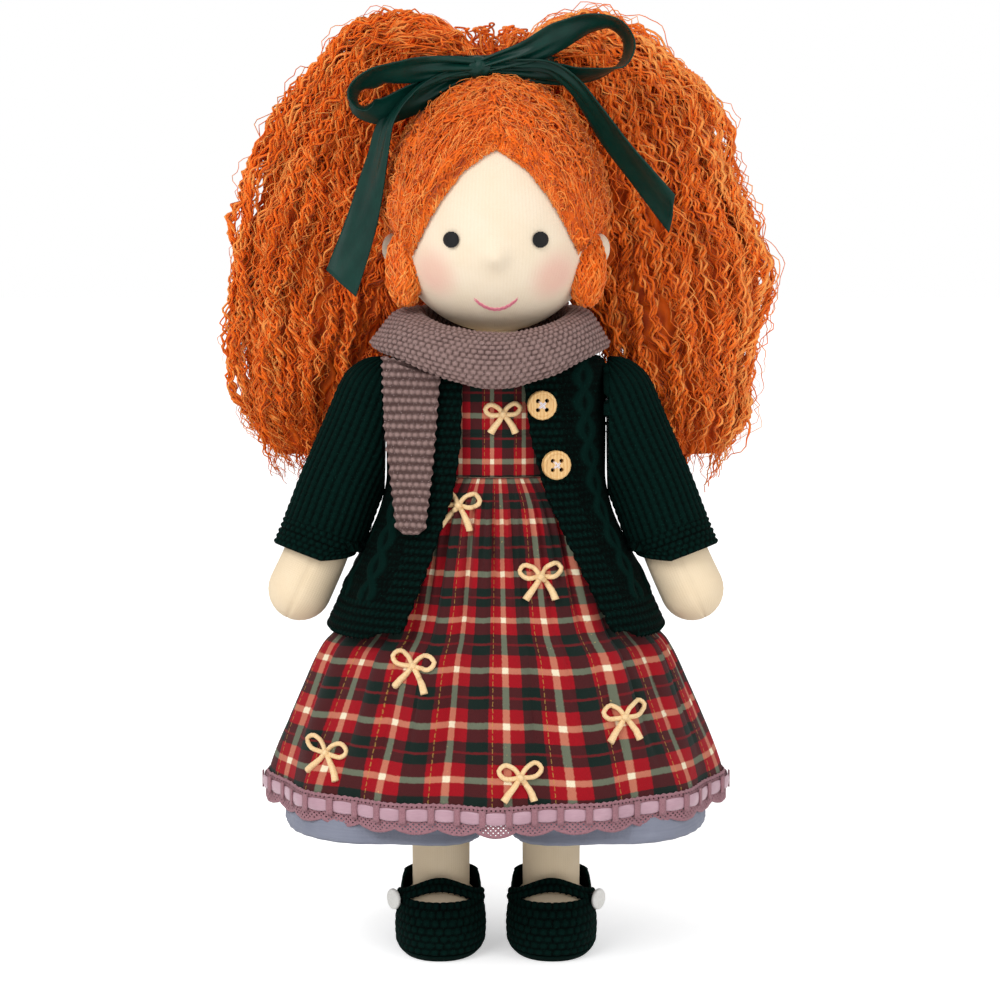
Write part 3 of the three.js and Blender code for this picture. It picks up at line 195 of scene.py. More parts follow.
def flat_of(points, around):
    """Where each point of a grid lies on the flat cloth, in mm across and up."""
    closed = np.concatenate([points, points[:1]]) if around else points
    across = np.linalg.norm(np.diff(closed, axis=0), axis=2).mean(1)
    across = np.concatenate([[0], np.cumsum(across)])
    up = np.concatenate([[0], np.cumsum(np.linalg.norm(np.diff(points, axis=1), axis=2).mean(0))])
    return np.stack(crossed(across, up), -1)


print("a 10 mm ball's equator:", np.round(ball(0, math.pi / 2, 10, 10, 10), 3))

# %% [markdown]
# ### Pieces
# Each piece of the doll becomes one mesh. Cloth has an inner face one thickness below its outer face,
# and yarn, hair and thread are bundles of thin closed tubes. Blender's Solidify modifier and curve
# objects could do both, but then a stitch, a strand's tone and its place on the flat cloth would have
# to be found again afterwards, so one small class keeps points, faces, tones and cloth places together.


# %% A piece of the doll
class Shape:
    """The points and faces of one piece, with each corner's place on the flat cloth."""

    def __init__(self):
        self.points, self.tones, self.faces, self.flats, self.total = [], [], [], [], 0

    def add(self, points, faces, flats, tones):
        """Takes in some points with their faces, which count from the first of these points."""
        points = np.asarray(points, float).reshape(-1, 3)
        self.points.append(points)
        self.tones.append(np.broadcast_to(np.asarray(tones, float), (len(points),)))
        for some, flat in zip(faces, flats):
            self.faces.append(some + self.total)
            self.flats.append(flat)
        self.total += len(points)

    def grid(self, points, flat, tones=0.5, around=False, ring=False, lids=False):
        """Quads over a grid. around joins its last column to its first, ring its last row to its first."""
        nu, nv = points.shape[:2]
        i, j = crossed(np.arange(nu - 1 + around), np.arange(nv - 1 + ring))
        corners = [(i, j), (i + 1, j), (i + 1, j + 1), (i, j + 1)]
        faces = np.stack([(a % nu) * nv + b % nv for a, b in corners], -1).reshape(-1, 4)
        flats = np.stack([flat[a, b] for a, b in corners], -2).reshape(-1, 4, flat.shape[-1])
        points, tones = points.reshape(-1, 3), np.broadcast_to(tones, (nu, nv)).ravel()
        faces, flats = [faces], [flats]
        if lids:
            for row, turn in ((0, 1), (nv - 1, 0)):
                column = np.arange(nu)
                middle = np.full(nu, len(points))
                pair = (np.roll(column, -1) * nv + row, column * nv + row)
                faces.append(xyz(middle, pair[1 - turn], pair[turn]))
                flats.append(np.repeat(flat[:nu, row][:, None], 3, 1))
                rim = points[column * nv + row]
                points = np.vstack([points, rim.mean(0)])
                tones = np.append(tones, tones[row])
        self.add(points, faces, flats, tones)

    def solid(self, points, tones=0.5):
        """A closed form: a grid joined all round, with a lid at each end."""
        self.grid(points, flat_of(points, True), tones, around=True, lids=True)

    def cloth(self, points, thickness, flat=None, tones=0.5, around=False):
        """Cloth of one thickness whose outer face is the grid. Its edges are closed."""
        flat = flat_of(points, around) if flat is None else flat
        nu, nv = points.shape[:2]
        inner = points - outward(points, around) * thickness
        both = np.concatenate([points, inner[:, ::-1]], 1)
        both_flat = np.concatenate([flat, flat[:, ::-1], flat[:, :1]], 1)
        tones = np.broadcast_to(tones, (nu, nv))
        both_tones = np.concatenate([tones, tones[:, ::-1]], 1)
        start = self.total
        self.grid(both, both_flat, both_tones, around=around, ring=True)
        if around:
            return
        j = np.arange(nv - 1)
        for column, turn in ((0, -1), (nu - 1, 1)):
            base = start + column * 2 * nv
            edge = np.stack([base + j, base + 2 * nv - 1 - j, base + 2 * nv - 2 - j, base + j + 1], -1)
            self.faces.append(edge[:, ::turn])
            self.flats.append(np.repeat(flat[column, :-1][:, None], 4, 1)[:, ::turn])

    def strands(self, lines, radii, tones=0.5, sides=3, facing=(0, 1, 0)):
        """Thin closed tubes along lines [strand, step, xyz]."""
        lines = np.asarray(lines, float)
        count, steps = lines.shape[:2]
        radii = np.broadcast_to(radii, (count, steps))
        ahead = unit(np.gradient(lines, axis=1))
        first = unit(np.cross(ahead, np.broadcast_to(facing, lines.shape)))
        second = np.cross(ahead, first)
        turn = np.arange(sides) * 2 * math.pi / sides
        rings = lines[:, :, None] + radii[:, :, None, None] * (
            first[:, :, None] * np.cos(turn)[:, None] + second[:, :, None] * np.sin(turn)[:, None])
        n, m, k = np.meshgrid(np.arange(count), np.arange(steps - 1), np.arange(sides), indexing="ij")
        index = lambda a, b, c: (a * steps + b) * sides + c % sides
        corners = ((0, 0), (0, 1), (1, 1), (1, 0))
        faces = np.stack([index(n, m + on, k + over) for on, over in corners], -1)
        ends = np.arange(count)[:, None]
        first_end = index(ends, 0, np.arange(sides)[::-1])
        last_end = index(ends, steps - 1, np.arange(sides))
        tones = np.asarray(tones, float)
        tones = tones[:, None] if tones.ndim == 1 else tones
        tones = np.repeat(np.broadcast_to(tones, (count, steps))[:, :, None], sides, 2).ravel()
        faces = [faces.reshape(-1, 4), first_end, last_end]
        self.add(rings, faces, [np.zeros((len(f), f.shape[1], 2)) for f in faces], tones)

    def build(self, name, finish, body, slot, *nodes):
        """Makes the mesh, lets it ride on its body and stand for its CAD nodes."""
        points = np.concatenate(self.points) * MM
        corners = np.concatenate([f.ravel() for f in self.faces])
        sizes = np.concatenate([np.full(len(f), f.shape[1]) for f in self.faces])
        mesh = bpy.data.meshes.new(name)
        mesh.vertices.add(len(points))
        mesh.vertices.foreach_set("co", points.ravel())
        mesh.loops.add(len(corners))
        mesh.loops.foreach_set("vertex_index", corners)
        mesh.polygons.add(len(sizes))
        mesh.polygons.foreach_set("loop_start", np.concatenate([[0], np.cumsum(sizes)[:-1]]))
        mesh.polygons.foreach_set("use_smooth", np.ones(len(sizes), bool))
        mesh.update(calc_edges=True)
        flat = np.concatenate([f.reshape(-1, f.shape[-1]) for f in self.flats])
        mesh.uv_layers.new(name="flat").data.foreach_set("uv", (flat[:, :2] * MM).ravel())
        if flat.shape[1] == 4:
            mesh.uv_layers.new(name="plaid").data.foreach_set("uv", flat[:, 2:].ravel())
        tone = mesh.attributes.new("tone", "FLOAT", "POINT")
        tone.data.foreach_set("value", np.concatenate(self.tones))
        piece = bpy.data.objects.new(name, mesh)
        bpy.context.scene.collection.objects.link(piece)
        mesh.materials.append(finish)
        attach(piece, body)
        if nodes:
            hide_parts(*nodes)
        print(f"{name}: {len(sizes)} faces")
        return piece


# %% [markdown]
# ## Stitches
# Knitting, crochet and gathers are real relief, a few tenths of a millimetre to a millimetre high, so
# they are lifted in the mesh. A picture could displace the mesh, but a formula can be given each piece's
# own stitch width. Each function takes places on the flat cloth in mm and gives a height from 0 in a
# valley to 1 on a stitch.


# %% Stitches as heights
def moss(u, v, wide, tall):
    """Small knots, each row shifted by half a stitch."""
    row = np.floor(v / tall)
    lift = np.abs(np.sin(math.pi * v / tall)) ** 0.7
    return lift * np.abs(np.cos(math.pi * (u / wide + 0.5 * (row % 2)))) ** 0.8


def garter(u, v, wide, tall):
    """Ridges across, each a row of short bumps."""
    ridge = 0.5 + 0.5 * np.cos(2 * math.pi * v / tall)
    return ridge * (0.7 + 0.3 * np.cos(2 * math.pi * (u / wide + 0.5 * (np.floor(v / tall + 0.5) % 2))))


def ribs(u, v, wide, tall):
    """Columns of small leaning stitches, one column raised and one sunk."""
    share = u / wide % 1
    column = np.sin(math.pi * share) ** 0.8
    lean = np.abs(share - 0.5) * 1.1
    return column * (0.84 + 0.16 * np.cos(2 * math.pi * (v / tall + lean)))


def cable(u, v, middle, swing, period):
    """Two cords of stitches that pass over each other."""
    away = swing * np.sin(2 * math.pi * v / period)
    over = np.cos(2 * math.pi * v / period)
    one = np.exp(-((u - middle - away) / 2.1) ** 2) * (0.85 + 0.15 * over)
    other = np.exp(-((u - middle + away) / 2.1) ** 2) * (0.85 - 0.15 * over)
    return np.maximum(one, other)


print("moss stitch heights", np.round(moss(np.linspace(0, 3, 4), 1.0, 3, 2.3), 2))

# %% [markdown]
# ## Finishes
# A finish is painted with numbers that change over the surface. Its nodes could be joined by hand in
# the shader editor, but a formula is shorter to read and to change. Two small classes keep it so:
# `Number` lets the shader's values be added and multiplied like plain ones, and `Finish` makes a
# material, its nodes and its links.


# %% Numbers that the shader works out
class Number:
    """A value that the shader works out, with the signs that Python numbers have."""

    def __init__(self, finish, socket):
        self.finish, self.socket = finish, socket

    def __add__(self, other):
        return self.finish.sum("ADD", self, other)

    def __sub__(self, other):
        return self.finish.sum("SUBTRACT", self, other)

    def __mul__(self, other):
        return self.finish.sum("MULTIPLY", self, other)

    def __truediv__(self, other):
        return self.finish.sum("DIVIDE", self, other)

    def __mod__(self, other):
        return self.finish.sum("FLOORED_MODULO", self, other)

    def __rsub__(self, other):
        return self.finish.sum("SUBTRACT", other, self)

    __radd__ = __add__
    __rmul__ = __mul__


# %% Colours
def paint(code):
    """A linear colour from a painter's hex code."""
    parts = [int(code[k:k + 2], 16) / 255 for k in (0, 2, 4)]
    return [p / 12.92 if p <= 0.04045 else ((p + 0.055) / 1.055) ** 2.4 for p in parts] + [1]


# %% A material and its nodes
class Finish:
    """One material, with short names for the nodes that the finishes share."""

    def __init__(self, name, **constants):
        self.material = bpy.data.materials.new(name)
        self.material.use_nodes = True
        self.tree = self.material.node_tree
        self.surface = self.tree.nodes["Principled BSDF"]
        for socket, value in constants.items():
            self.surface.inputs[socket.replace("_", " ")].default_value = value
        print("finish:", name)

    def put(self, socket, value):
        """Links a worked out value to a socket, or writes a plain one into it."""
        if isinstance(value, Number):
            self.tree.links.new(value.socket, socket)
        else:
            socket.default_value = value

    def node(self, kind, settings=None, inputs=None, output=0):
        """Adds a node and gives back one of its outputs."""
        node = self.tree.nodes.new(kind)
        for name, value in (settings or {}).items():
            setattr(node, name, value)
        for name, value in (inputs or {}).items():
            self.put(node.inputs[name], value)
        return Number(self, node.outputs[output])

    def sum(self, operation, *items):
        """One step of arithmetic in the shader."""
        return self.node("ShaderNodeMath", {"operation": operation}, dict(enumerate(items)))

    def wave(self, turns):
        """From 0 to 1 and back once a turn."""
        return self.sum("COSINE", turns * (2 * math.pi)) * -0.5 + 0.5

    def between(self, low, high, value):
        """0 below low, 1 above high and smooth between."""
        return self.node("ShaderNodeMapRange", {"interpolation_type": "SMOOTHSTEP"},
                         {"Value": value, "From Min": low, "From Max": high})

    def mix(self, share, low, high):
        """A colour that is low where the share is 0 and high where it is 1."""
        return self.node("ShaderNodeMix", {"data_type": "RGBA"}, {0: share, 6: low, 7: high}, 2)

    def parts(self, vector):
        """The three numbers of a vector."""
        node = self.tree.nodes.new("ShaderNodeSeparateXYZ")
        self.put(node.inputs[0], vector)
        return [Number(self, socket) for socket in node.outputs]

    def flat(self, layer="flat"):
        """The place on the flat cloth."""
        return self.node("ShaderNodeUVMap", {"uv_map": layer})

    def place(self):
        """The place in the doll's own frame."""
        return self.node("ShaderNodeTexCoord", output="Object")

    def tone(self):
        return self.node("ShaderNodeAttribute", {"attribute_name": "tone"}, output="Fac")

    def stretched(self, vector, *factors):
        return self.node("ShaderNodeVectorMath", {"operation": "MULTIPLY"}, {0: vector, 1: factors})

    def noise(self, vector, scale, detail):
        return self.node("ShaderNodeTexNoise", None, {"Vector": vector, "Scale": scale, "Detail": detail})

    def colour(self, value):
        self.put(self.surface.inputs["Base Color"], value)

    def rough(self, value):
        self.put(self.surface.inputs["Roughness"], value)

    def relief(self, height, depth):
        """Lifts the surface's look by depth, in mm, where height is 1."""
        lifted = {"Strength": 1.0, "Distance": depth * MM, "Height": height}
        bump = self.node("ShaderNodeBump", None, lifted)
        self.put(self.surface.inputs["Normal"], bump)


# %% [markdown]
# ### Skin
# The skin is fine cotton jersey, knitted in columns less than a millimetre wide, and stretched over
# wool. The cheeks are blushed with a dry pink crayon. Limbs are a touch more tan than the face. A
# painted picture would do too, but nodes keep the knit fine from close by, and the blush is only a
# distance from two places on the cheeks.

# %% Jersey skin
CHEEKS = ((-25.5, -30.0, 271.3), (23.6, -30.0, 270.7))


def skin_finish(name, code, pale, blushed=False):
    """Jersey between two colours, with the blush if it is the face's."""
    skin = Finish(name, Roughness=0.85, Sheen_Weight=0.1, Sheen_Roughness=0.5, Specular_IOR_Level=0.2)
    u, v, _ = skin.parts(skin.flat())
    column = skin.wave(u / (0.95 * MM))
    stitch = skin.wave(v / (0.8 * MM) + column * 0.35)
    blotch = skin.noise(skin.place(), 90, 4)
    fuzz = skin.noise(skin.place(), 1900, 2)
    # the column wave adds a small painted highlight on the crown of each knitted column; blotches and fuzz
    # are the jersey's own uneven tone
    base = skin.mix(blotch * 0.6 + column * 0.12 + fuzz * 0.2, paint(code), paint(pale))
    if blushed:
        for cheek in CHEEKS:
            away = skin.node("ShaderNodeVectorMath", {"operation": "DISTANCE"},
                             {0: skin.place(), 1: [v * MM for v in cheek]}, "Value")
            share = skin.between(15 * MM, 3 * MM, away) * (0.3 + blotch * 0.25)
            base = skin.mix(share, base, paint("E48E86"))
    skin.colour(base)
    skin.relief(column * 0.4 + stitch * 0.3 + fuzz * 0.6, 0.09)
    return skin.material


FACE = skin_finish("face_jersey", "E6D2B4", "F2E4D0", True)
LIMBS = skin_finish("limb_jersey", "E3CBA6", "F0DEC2")

# %% [markdown]
# ### Mohair
# Every strand and lock has a tone of its own at random, lighter on the fine loose loops and the combed
# strands.
# Painted shade, dark rust, is added where hair lies deep: at the inner edge and the back of each bunch, on
# the masses inside the hair and on the cap under the loops. Painted light, orange to pale gold, is added at
# the outer edge of each bunch and along the crest of each crimp. Blender's hair shader is meant for hair
# curves. These strands are meshes, so a plain surface takes its colour from each strand's tone, and a fine
# noise breaks up the shine.


# %% Mohair
def hair_finish():
    """Mohair that takes its colour from each strand's tone."""
    hair = Finish("mohair", Roughness=0.6, Sheen_Weight=0.12, Sheen_Roughness=0.4, Specular_IOR_Level=0.25)
    tone = hair.tone()
    patch = hair.noise(hair.place(), 260, 3)
    # the strand's tone carries its own colour together with the painted shade and painted light that the
    # pieces add to it
    level = tone * 0.8 + patch * 0.4 - 0.1
    base = hair.mix(hair.between(0.0, 0.5, level), paint("B04205"), paint("F46E08"))
    base = hair.mix(hair.between(0.5, 1.1, level), base, paint("FFAE58"))
    hair.colour(base)
    hair.relief(hair.noise(hair.place(), 2600, 2), 0.12)
    return hair.material


MOHAIR = hair_finish()

# %% [markdown]
# ### Satin ribbon
# Dark green satin, woven with fine threads across and long floats along, so it is glossy in the folds.
# An anisotropic surface could give its streaks. A noise that is stretched along the floats gives them in
# the roughness, which a baked picture can carry, and with a cloudy noise it also lightens the colour as
# painted sheen.


# %% Satin
def satin_finish(name, dark, light, sheen, gloss):
    """Satin between its own dark colour and a lighter one, which is painted sheen in clouds and streaks
    along the floats.
    """
    satin = Finish(name, Coat_Roughness=0.25, Sheen_Weight=sheen, Sheen_Roughness=0.3,
                   Specular_IOR_Level=gloss)
    satin.surface.inputs["Sheen Tint"].default_value = paint(light)
    u, v, _ = satin.parts(satin.flat())
    weft = satin.wave(u / (0.35 * MM))
    float_length = satin.noise(satin.stretched(satin.flat(), 300, 2400, 1), 1, 2)
    cloud = satin.noise(satin.place(), 120, 2)
    # painted sheen: clouds and streaks along the floats lighten the colour from dark towards light
    satin.colour(satin.mix(cloud * 0.6 + float_length * 0.4, paint(dark), paint(light)))
    satin.rough(0.3 + float_length * 0.18)
    satin.put(satin.surface.inputs["Coat Weight"], gloss * 0.1 + cloud * (gloss * 0.4))
    satin.relief(weft * 0.3 + float_length * 0.7, 0.05)
    return satin.material


RIBBON = satin_finish("hair_ribbon_satin", "001310", "033D33", 0.0, 0.16)
TRIM = satin_finish("hem_ribbon_satin", "9A7280", "C7A2AE", 0.1, 0.5)

# %% [markdown]
# ### Yarn
# Soft wool yarn: a twist along each stitch, painted shade in the valleys between stitches, and a halo of
# short fibres with specks of painted glint. The fibres could be real hairs on the surface, but at this size
# a fine noise looks the same and is light.


# %% Wool yarn
def yarn_finish(name, valley, crown, glint, shine):
    """Wool: a painted shade colour in a stitch's valleys, the yarn's own colour on its crown and a painted
    glint colour on specks of the fuzz.
    """
    yarn = Finish(name, Roughness=0.9, Sheen_Weight=shine, Sheen_Roughness=0.5, Specular_IOR_Level=shine)
    yarn.surface.inputs["Sheen Tint"].default_value = paint(glint)
    ply = yarn.noise(yarn.stretched(yarn.flat(), 1500, 900, 1), 1, 3)
    fuzz = yarn.noise(yarn.place(), 2200, 3)
    patch = yarn.noise(yarn.place(), 170, 2)
    level = yarn.tone() * 0.75 + ply * 0.35 + patch * 0.2 - 0.2
    # the tone is each piece's stitch height, so the valley colour is painted shade between stitches; ply
    # and patch are the yarn's own uneven colour
    base = yarn.mix(yarn.between(0.05, 0.75, level), paint(valley), paint(crown))
    # painted highlight: specks of the fine fuzz noise take the glint colour
    yarn.colour(yarn.mix(yarn.between(0.6, 0.75, fuzz), base, paint(glint)))
    yarn.relief(ply * 0.6 + fuzz * 0.6, 0.25)
    return yarn.material


# on all three, the valley colour is painted shade and the glint colour a painted highlight
SCARF = yarn_finish("scarf_wool", "4E3B38", "917873", "B39C9A", 0.12)
KNIT = yarn_finish("cardigan_wool", "010403", "031A16", "0B3029", 0.04)
CROCHET = yarn_finish("shoe_wool", "010504", "041B17", "0B3029", 0.04)

# %% [markdown]
# ### Tartan
# A cotton twill. Eighteen repeats go round the skirt. Each repeat across is a red band with a cream
# stripe and a thin gold line, and then a dark green band; each repeat down is a red band with a cream
# row, and then a dark band with a faint red line. Where two bands of one colour cross they are
# strongest, and elsewhere the two mix. A picture of tartan could be used, but bands that are worked
# out from a place's share of the repeat follow this skirt's own gathers and stay sharp.


# %% Tartan cotton
def tartan_finish():
    """Tartan drawn from the cloth's places in the repeat."""
    plaid = Finish("tartan_cotton", Roughness=0.85, Sheen_Weight=0.04, Specular_IOR_Level=0.12)
    across, down, _ = plaid.parts(plaid.flat("plaid"))
    u, v, _ = plaid.parts(plaid.flat())
    ragged = (plaid.noise(plaid.stretched(plaid.flat(), 900, 900, 1), 1, 2) - 0.5) * 0.03
    x = (across + ragged + 0.5) % 1.0 - 0.5
    y = (down + ragged + 0.5) % 1.0 - 0.5

    def within(place, middle, half):
        """1 inside a band of the repeat, with a soft edge."""
        away = plaid.sum("ABSOLUTE", place - middle)
        return plaid.between(half + 0.012, half - 0.012, away)

    red_warp, red_weft = within(x, 0.0, 0.315), within(y, 0.0, 0.30)
    cream_warp, cream_weft = within(x, 0.0, 0.062), within(y, 0.0, 0.058)
    red, dark, maroon = paint("A5101E"), paint("12231E"), paint("6A1420")
    base = plaid.mix(red_warp * 0.5 + red_weft * 0.5, dark, maroon)
    base = plaid.mix(red_warp * red_weft, base, red)
    base = plaid.mix((1 - red_warp) * (1 - red_weft), base, dark)
    red_line = within(plaid.sum("ABSOLUTE", y), 0.5, 0.022)
    base = plaid.mix(red_line * 0.55, base, paint("8E1722"))
    cream, salmon, sage = paint("FFF1D0"), paint("CC7A62"), paint("6F7562")
    base = plaid.mix(cream_warp, base, plaid.mix(red_weft, sage, salmon))
    base = plaid.mix(cream_weft, base, plaid.mix(red_warp, sage, salmon))
    base = plaid.mix(cream_warp * cream_weft, base, cream)
    dash = plaid.between(0.1, 0.35, plaid.wave(v / (2.6 * MM)))
    gold_line = within(x, -0.24, 0.002) * dash
    glitter = plaid.between(0.72, 0.78, plaid.noise(plaid.place(), 900, 1)) * cream_warp
    base = plaid.mix(gold_line, base, paint("D9B25A"))
    twill = plaid.wave((u + v) / (0.62 * MM))
    # painted shade: the twill's diagonal grooves, the same wave that lifts its relief, are darkened towards
    # near black
    base = plaid.mix(twill * 0.22, base, paint("0D0B0B"))
    plaid.colour(plaid.mix(glitter * 0.5, base, paint("E8C676")))
    plaid.put(plaid.surface.inputs["Metallic"], gold_line * 0.6)
    plaid.relief(twill * 0.8 + gold_line, 0.12)
    return plaid.material


TARTAN = tartan_finish()

# %% [markdown]
# ### Bloomer cotton, lace, wood and small things
# The bloomers are crisp lilac-grey cotton. The lace is a dusty rose cotton net with small holes in
# each scallop. The cardigan's buttons are turned from pale wood with the grain across them. The lace's
# holes could be cut into its mesh, but that takes very many faces, so the finish is clear there.


# %% Bloomer cotton
def cotton_finish():
    """Plain woven cotton with thick and thin threads."""
    cotton = Finish("bloomer_cotton", Roughness=0.8, Sheen_Weight=0.1, Specular_IOR_Level=0.3)
    u, v, _ = cotton.parts(cotton.flat())
    warp, weft = cotton.wave(u / (0.4 * MM)), cotton.wave(v / (0.4 * MM))
    slub = cotton.noise(cotton.stretched(cotton.flat(), 80, 1200, 1), 1, 2)
    cloud = cotton.noise(cotton.place(), 60, 3)
    cotton.colour(cotton.mix(slub * 0.5 + cloud * 0.5, paint("6F7385"), paint("9296A5")))
    cotton.relief(warp * weft + slub * 0.6, 0.1)
    return cotton.material


# %% Lace
def lace_finish(count, high):
    """Net lace with this many scallops round and this height in mm."""
    lace = Finish("lace_cotton", Roughness=0.85, Sheen_Weight=0.1, Specular_IOR_Level=0.2)
    turn, _, _ = lace.parts(lace.flat("plaid"))
    _, v, _ = lace.parts(lace.flat())
    x = turn * count % 1.0 - 0.5
    v = v / MM
    edge = 1.8 - lace.sum("SINE", (x + 0.5) * math.pi) * 2.1
    along_net, up_net = turn * (count * 8), v / 1.9
    net = lace.wave(along_net + up_net) * lace.wave(along_net - up_net)
    net = lace.between(0.5, 0.66, net) * lace.between(0.9, 1.2, v - edge) * lace.between(5.0, 4.7, v)
    head_net = lace.between(0.62, 0.8, lace.wave(turn * count * 9) * lace.wave(v / 1.6))
    head_net = head_net * lace.between(high - 1.9, high - 1.6, v)
    hole = lace.sum("MAXIMUM", net, head_net)
    thread = lace.noise(lace.place(), 1800, 2)
    lace.colour(lace.mix(thread, paint("80565F"), paint("AE8088")))
    lace.put(lace.surface.inputs["Alpha"], 1 - hole)
    lace.relief(thread + hole * -1.0, 0.3)
    return lace.material


# %% Turned wood
def wood_finish():
    """Pale turned wood with its grain."""
    wood = Finish("button_wood", Roughness=0.5, Coat_Roughness=0.3)
    grain = wood.noise(wood.stretched(wood.place(), 2200, 600, 260), 1, 4)
    ring = wood.wave(wood.parts(wood.place())[0] / (1.3 * MM) + grain * 1.4)
    wood.colour(wood.mix(ring * 0.4 + grain * 0.5, paint("C8924E"), paint("F0CC90")))
    wood.put(wood.surface.inputs["Coat Weight"], 0.1 + grain * 0.2)
    wood.relief(grain * 0.6 + ring * 0.4, 0.06)
    return wood.material


# %% Thread
def thread_finish(name, dark, light, dull=0.6):
    """Twisted thread, or a small smooth thing when it is less dull."""
    thread = Finish(name, Sheen_Weight=0.05, Specular_IOR_Level=0.25)
    twist = thread.noise(thread.place(), 1500, 2)
    thread.colour(thread.mix(twist, paint(dark), paint(light)))
    thread.rough(dull + twist * 0.2)
    thread.relief(twist, 0.1)
    return thread.material


# %% All the small finishes
COTTON = cotton_finish()
WOOD = wood_finish()
BLACK_THREAD = thread_finish("eye_thread", "030304", "0E0D10", 0.4)
PINK_THREAD = thread_finish("mouth_thread", "C65A70", "EE9AAA", 0.5)
PALE_THREAD = thread_finish("pale_thread", "CFC6D0", "F4EFF2")
GOLD_CORD = thread_finish("gold_cord", "DCA864", "FCE6BC", 0.5)
WHITE_BUTTON = thread_finish("white_button", "DEDCD6", "FAF8F4", 0.25)
# the groove's darker wood colour is painted shade for a cut groove
GROOVE_SHADE = thread_finish("turned_groove", "8A5A28", "B98547", 0.6)
print(len(bpy.data.materials), "materials so far")

# %% [markdown]
# ## Head
# A ball of wool tied with thread and covered with one jersey skin. It is round at the cheeks and
# longer above the eyes. A small bead under the skin makes the nose. It could be sculpted, but a ball
# with two half heights is near enough, and soft bumps and dents give the nose and the eyes' hollows.

# %% The head and the neck
FACE_LEVEL = 285
HEAD_HALF = (39, 41)
HEAD_LOW, HEAD_HIGH = 37.0, 58.5
NOSE, NOSE_HIGH, NOSE_WIDE = (0, -40.5, 279.2), 3.3, 4.6
EYE_X, EYE_Z, EYE_RADIUS, EYE_ROWS = 17.1, 285.3, 3.0, 15
SOCKET_DEEP, SOCKET_WIDE = 0.55, 5
NECK_RADIUS, NECK_LOW, NECK_HIGH = 8.7, 244.5, 252


def head_point(turn, tilt, grow=0.0):
    """A point on the head: turn anticlockwise from +X seen from above, tilt down from the crown."""
    reach = np.where(np.cos(tilt) > 0, HEAD_HIGH, HEAD_LOW) + grow
    return ball(turn, tilt, HEAD_HALF[0] + grow, HEAD_HALF[1] + grow, reach) + [0, 0, FACE_LEVEL]


def face_front(x, z):
    """The y of the head's front under a mark on the face."""
    reach = np.where(z > FACE_LEVEL, HEAD_HIGH, HEAD_LOW)
    rest = 1 - (x / HEAD_HALF[0]) ** 2 - ((z - FACE_LEVEL) / reach) ** 2
    return -HEAD_HALF[1] * np.sqrt(np.maximum(rest, 0))


head_grid = head_point(*over_ball(192, 96, 0.02))
nose_away = np.linalg.norm(head_grid - np.array(NOSE), axis=-1)
head_out = outward(head_grid, True)
head_grid = head_grid + head_out * (NOSE_HIGH * np.exp(-(nose_away / NOSE_WIDE) ** 2))[..., None]
for side in (1, -1):
    eye_away = np.linalg.norm(head_grid - [EYE_X * side, face_front(EYE_X, FACE_LEVEL), EYE_Z], axis=-1)
    head_grid -= head_out * (SOCKET_DEEP * np.exp(-(eye_away / SOCKET_WIDE) ** 2))[..., None]
head = Shape()
head.solid(head_grid)
head.solid(round_at(turns_round(48)[:, None], NECK_RADIUS, np.linspace(NECK_LOW, NECK_HIGH, 8)))
head_piece = head.build("head", FACE, "head", "skin_knit", "head_skin", "head_core")

# %% [markdown]
# Eyes are black thread laid side by side, the mouth a short bow of pink backstitch, and the ears two
# gathered pinches of jersey. They could be painted on the skin, but threads that lie just over it catch
# the light as embroidery does.

# %% Eyes, ears and mouth
EAR_HALF, EAR_PLACE = (4.4, 5.6, 6.1), np.array([40.9, 4, 280.8])
MOUTH_HALF, MOUTH_Z, MOUTH_DIP, MOUTH_THREAD = 8.5, 262.5, 4.3, 0.36
for name, side in SIDES:
    rows = np.linspace(-2.8, 2.8, EYE_ROWS)
    lines = []
    for row in rows:
        x = np.linspace(-1, 1, 9) * math.sqrt(EYE_RADIUS ** 2 - row * row) + EYE_X * side
        z = np.full_like(x, EYE_Z + row)
        y = face_front(x, z) - 0.15 - 0.55 * np.cos((x - EYE_X * side) / EYE_RADIUS * math.pi / 2)
        lines.append(xyz(x, y, z))
    eye = Shape()
    eye.strands(lines, 0.3, sides=6, facing=(0, 0, 1))
    eye.build(f"embroidered_eye_{name}", BLACK_THREAD, "head", "eye_thread", f"eye_{name}")

    turn, tilt = over_ball(32, 20, 0.05)
    pinch = 1 - 0.25 * np.exp(-((turn - math.radians(290 if side > 0 else 250)) / 0.6) ** 2)
    ear_grid = ball(turn, tilt, EAR_HALF[0] * pinch, *EAR_HALF[1:]) + EAR_PLACE * [side, 1, 1]
    ear = Shape()
    ear.solid(ear_grid)
    ear.build(f"stitched_ear_{name}", FACE, "head", "skin_knit", f"ear_{name}")

mouth = Shape()
span = np.linspace(-MOUTH_HALF, MOUTH_HALF, 33)
for lift in (-0.33, 0.33):
    height = MOUTH_Z - MOUTH_DIP * (1 - (span / MOUTH_HALF) ** 2) + lift + 0.12 * np.sin(span * 3.2)
    thick = MOUTH_THREAD * np.clip(1.15 - np.abs(span / MOUTH_HALF) ** 6, 0.2, 1)
    mouth.strands([xyz(span, face_front(span, height) - 0.12, height)], thick, sides=6, facing=(0, 0, 1))
mouth.build("stitched_mouth", PINK_THREAD, "head", "mouth_thread", "mouth")

# %% [markdown]
# ## Hair on the head
# Mohair yarn is sewn all over the skull in small loops that tangle into a bouclé. Along the hairline
# longer strands are combed up to the crown, and a lock is left in front of each ear. Blender's hair
# curves could grow it, but a library part is plain meshes. So each loop is a thin tube, and a closed cap
# under the loops hides the skin.

# %% The cap under the loops
HAIRLINE = np.array([[0, 322.6], [5, 319.6], [12.2, 314.2], [20.4, 303.2], [27.2, 291.6], [32, 281],
                     [34, 272.4], [36, 262]])
CAP_GROW = 4.4


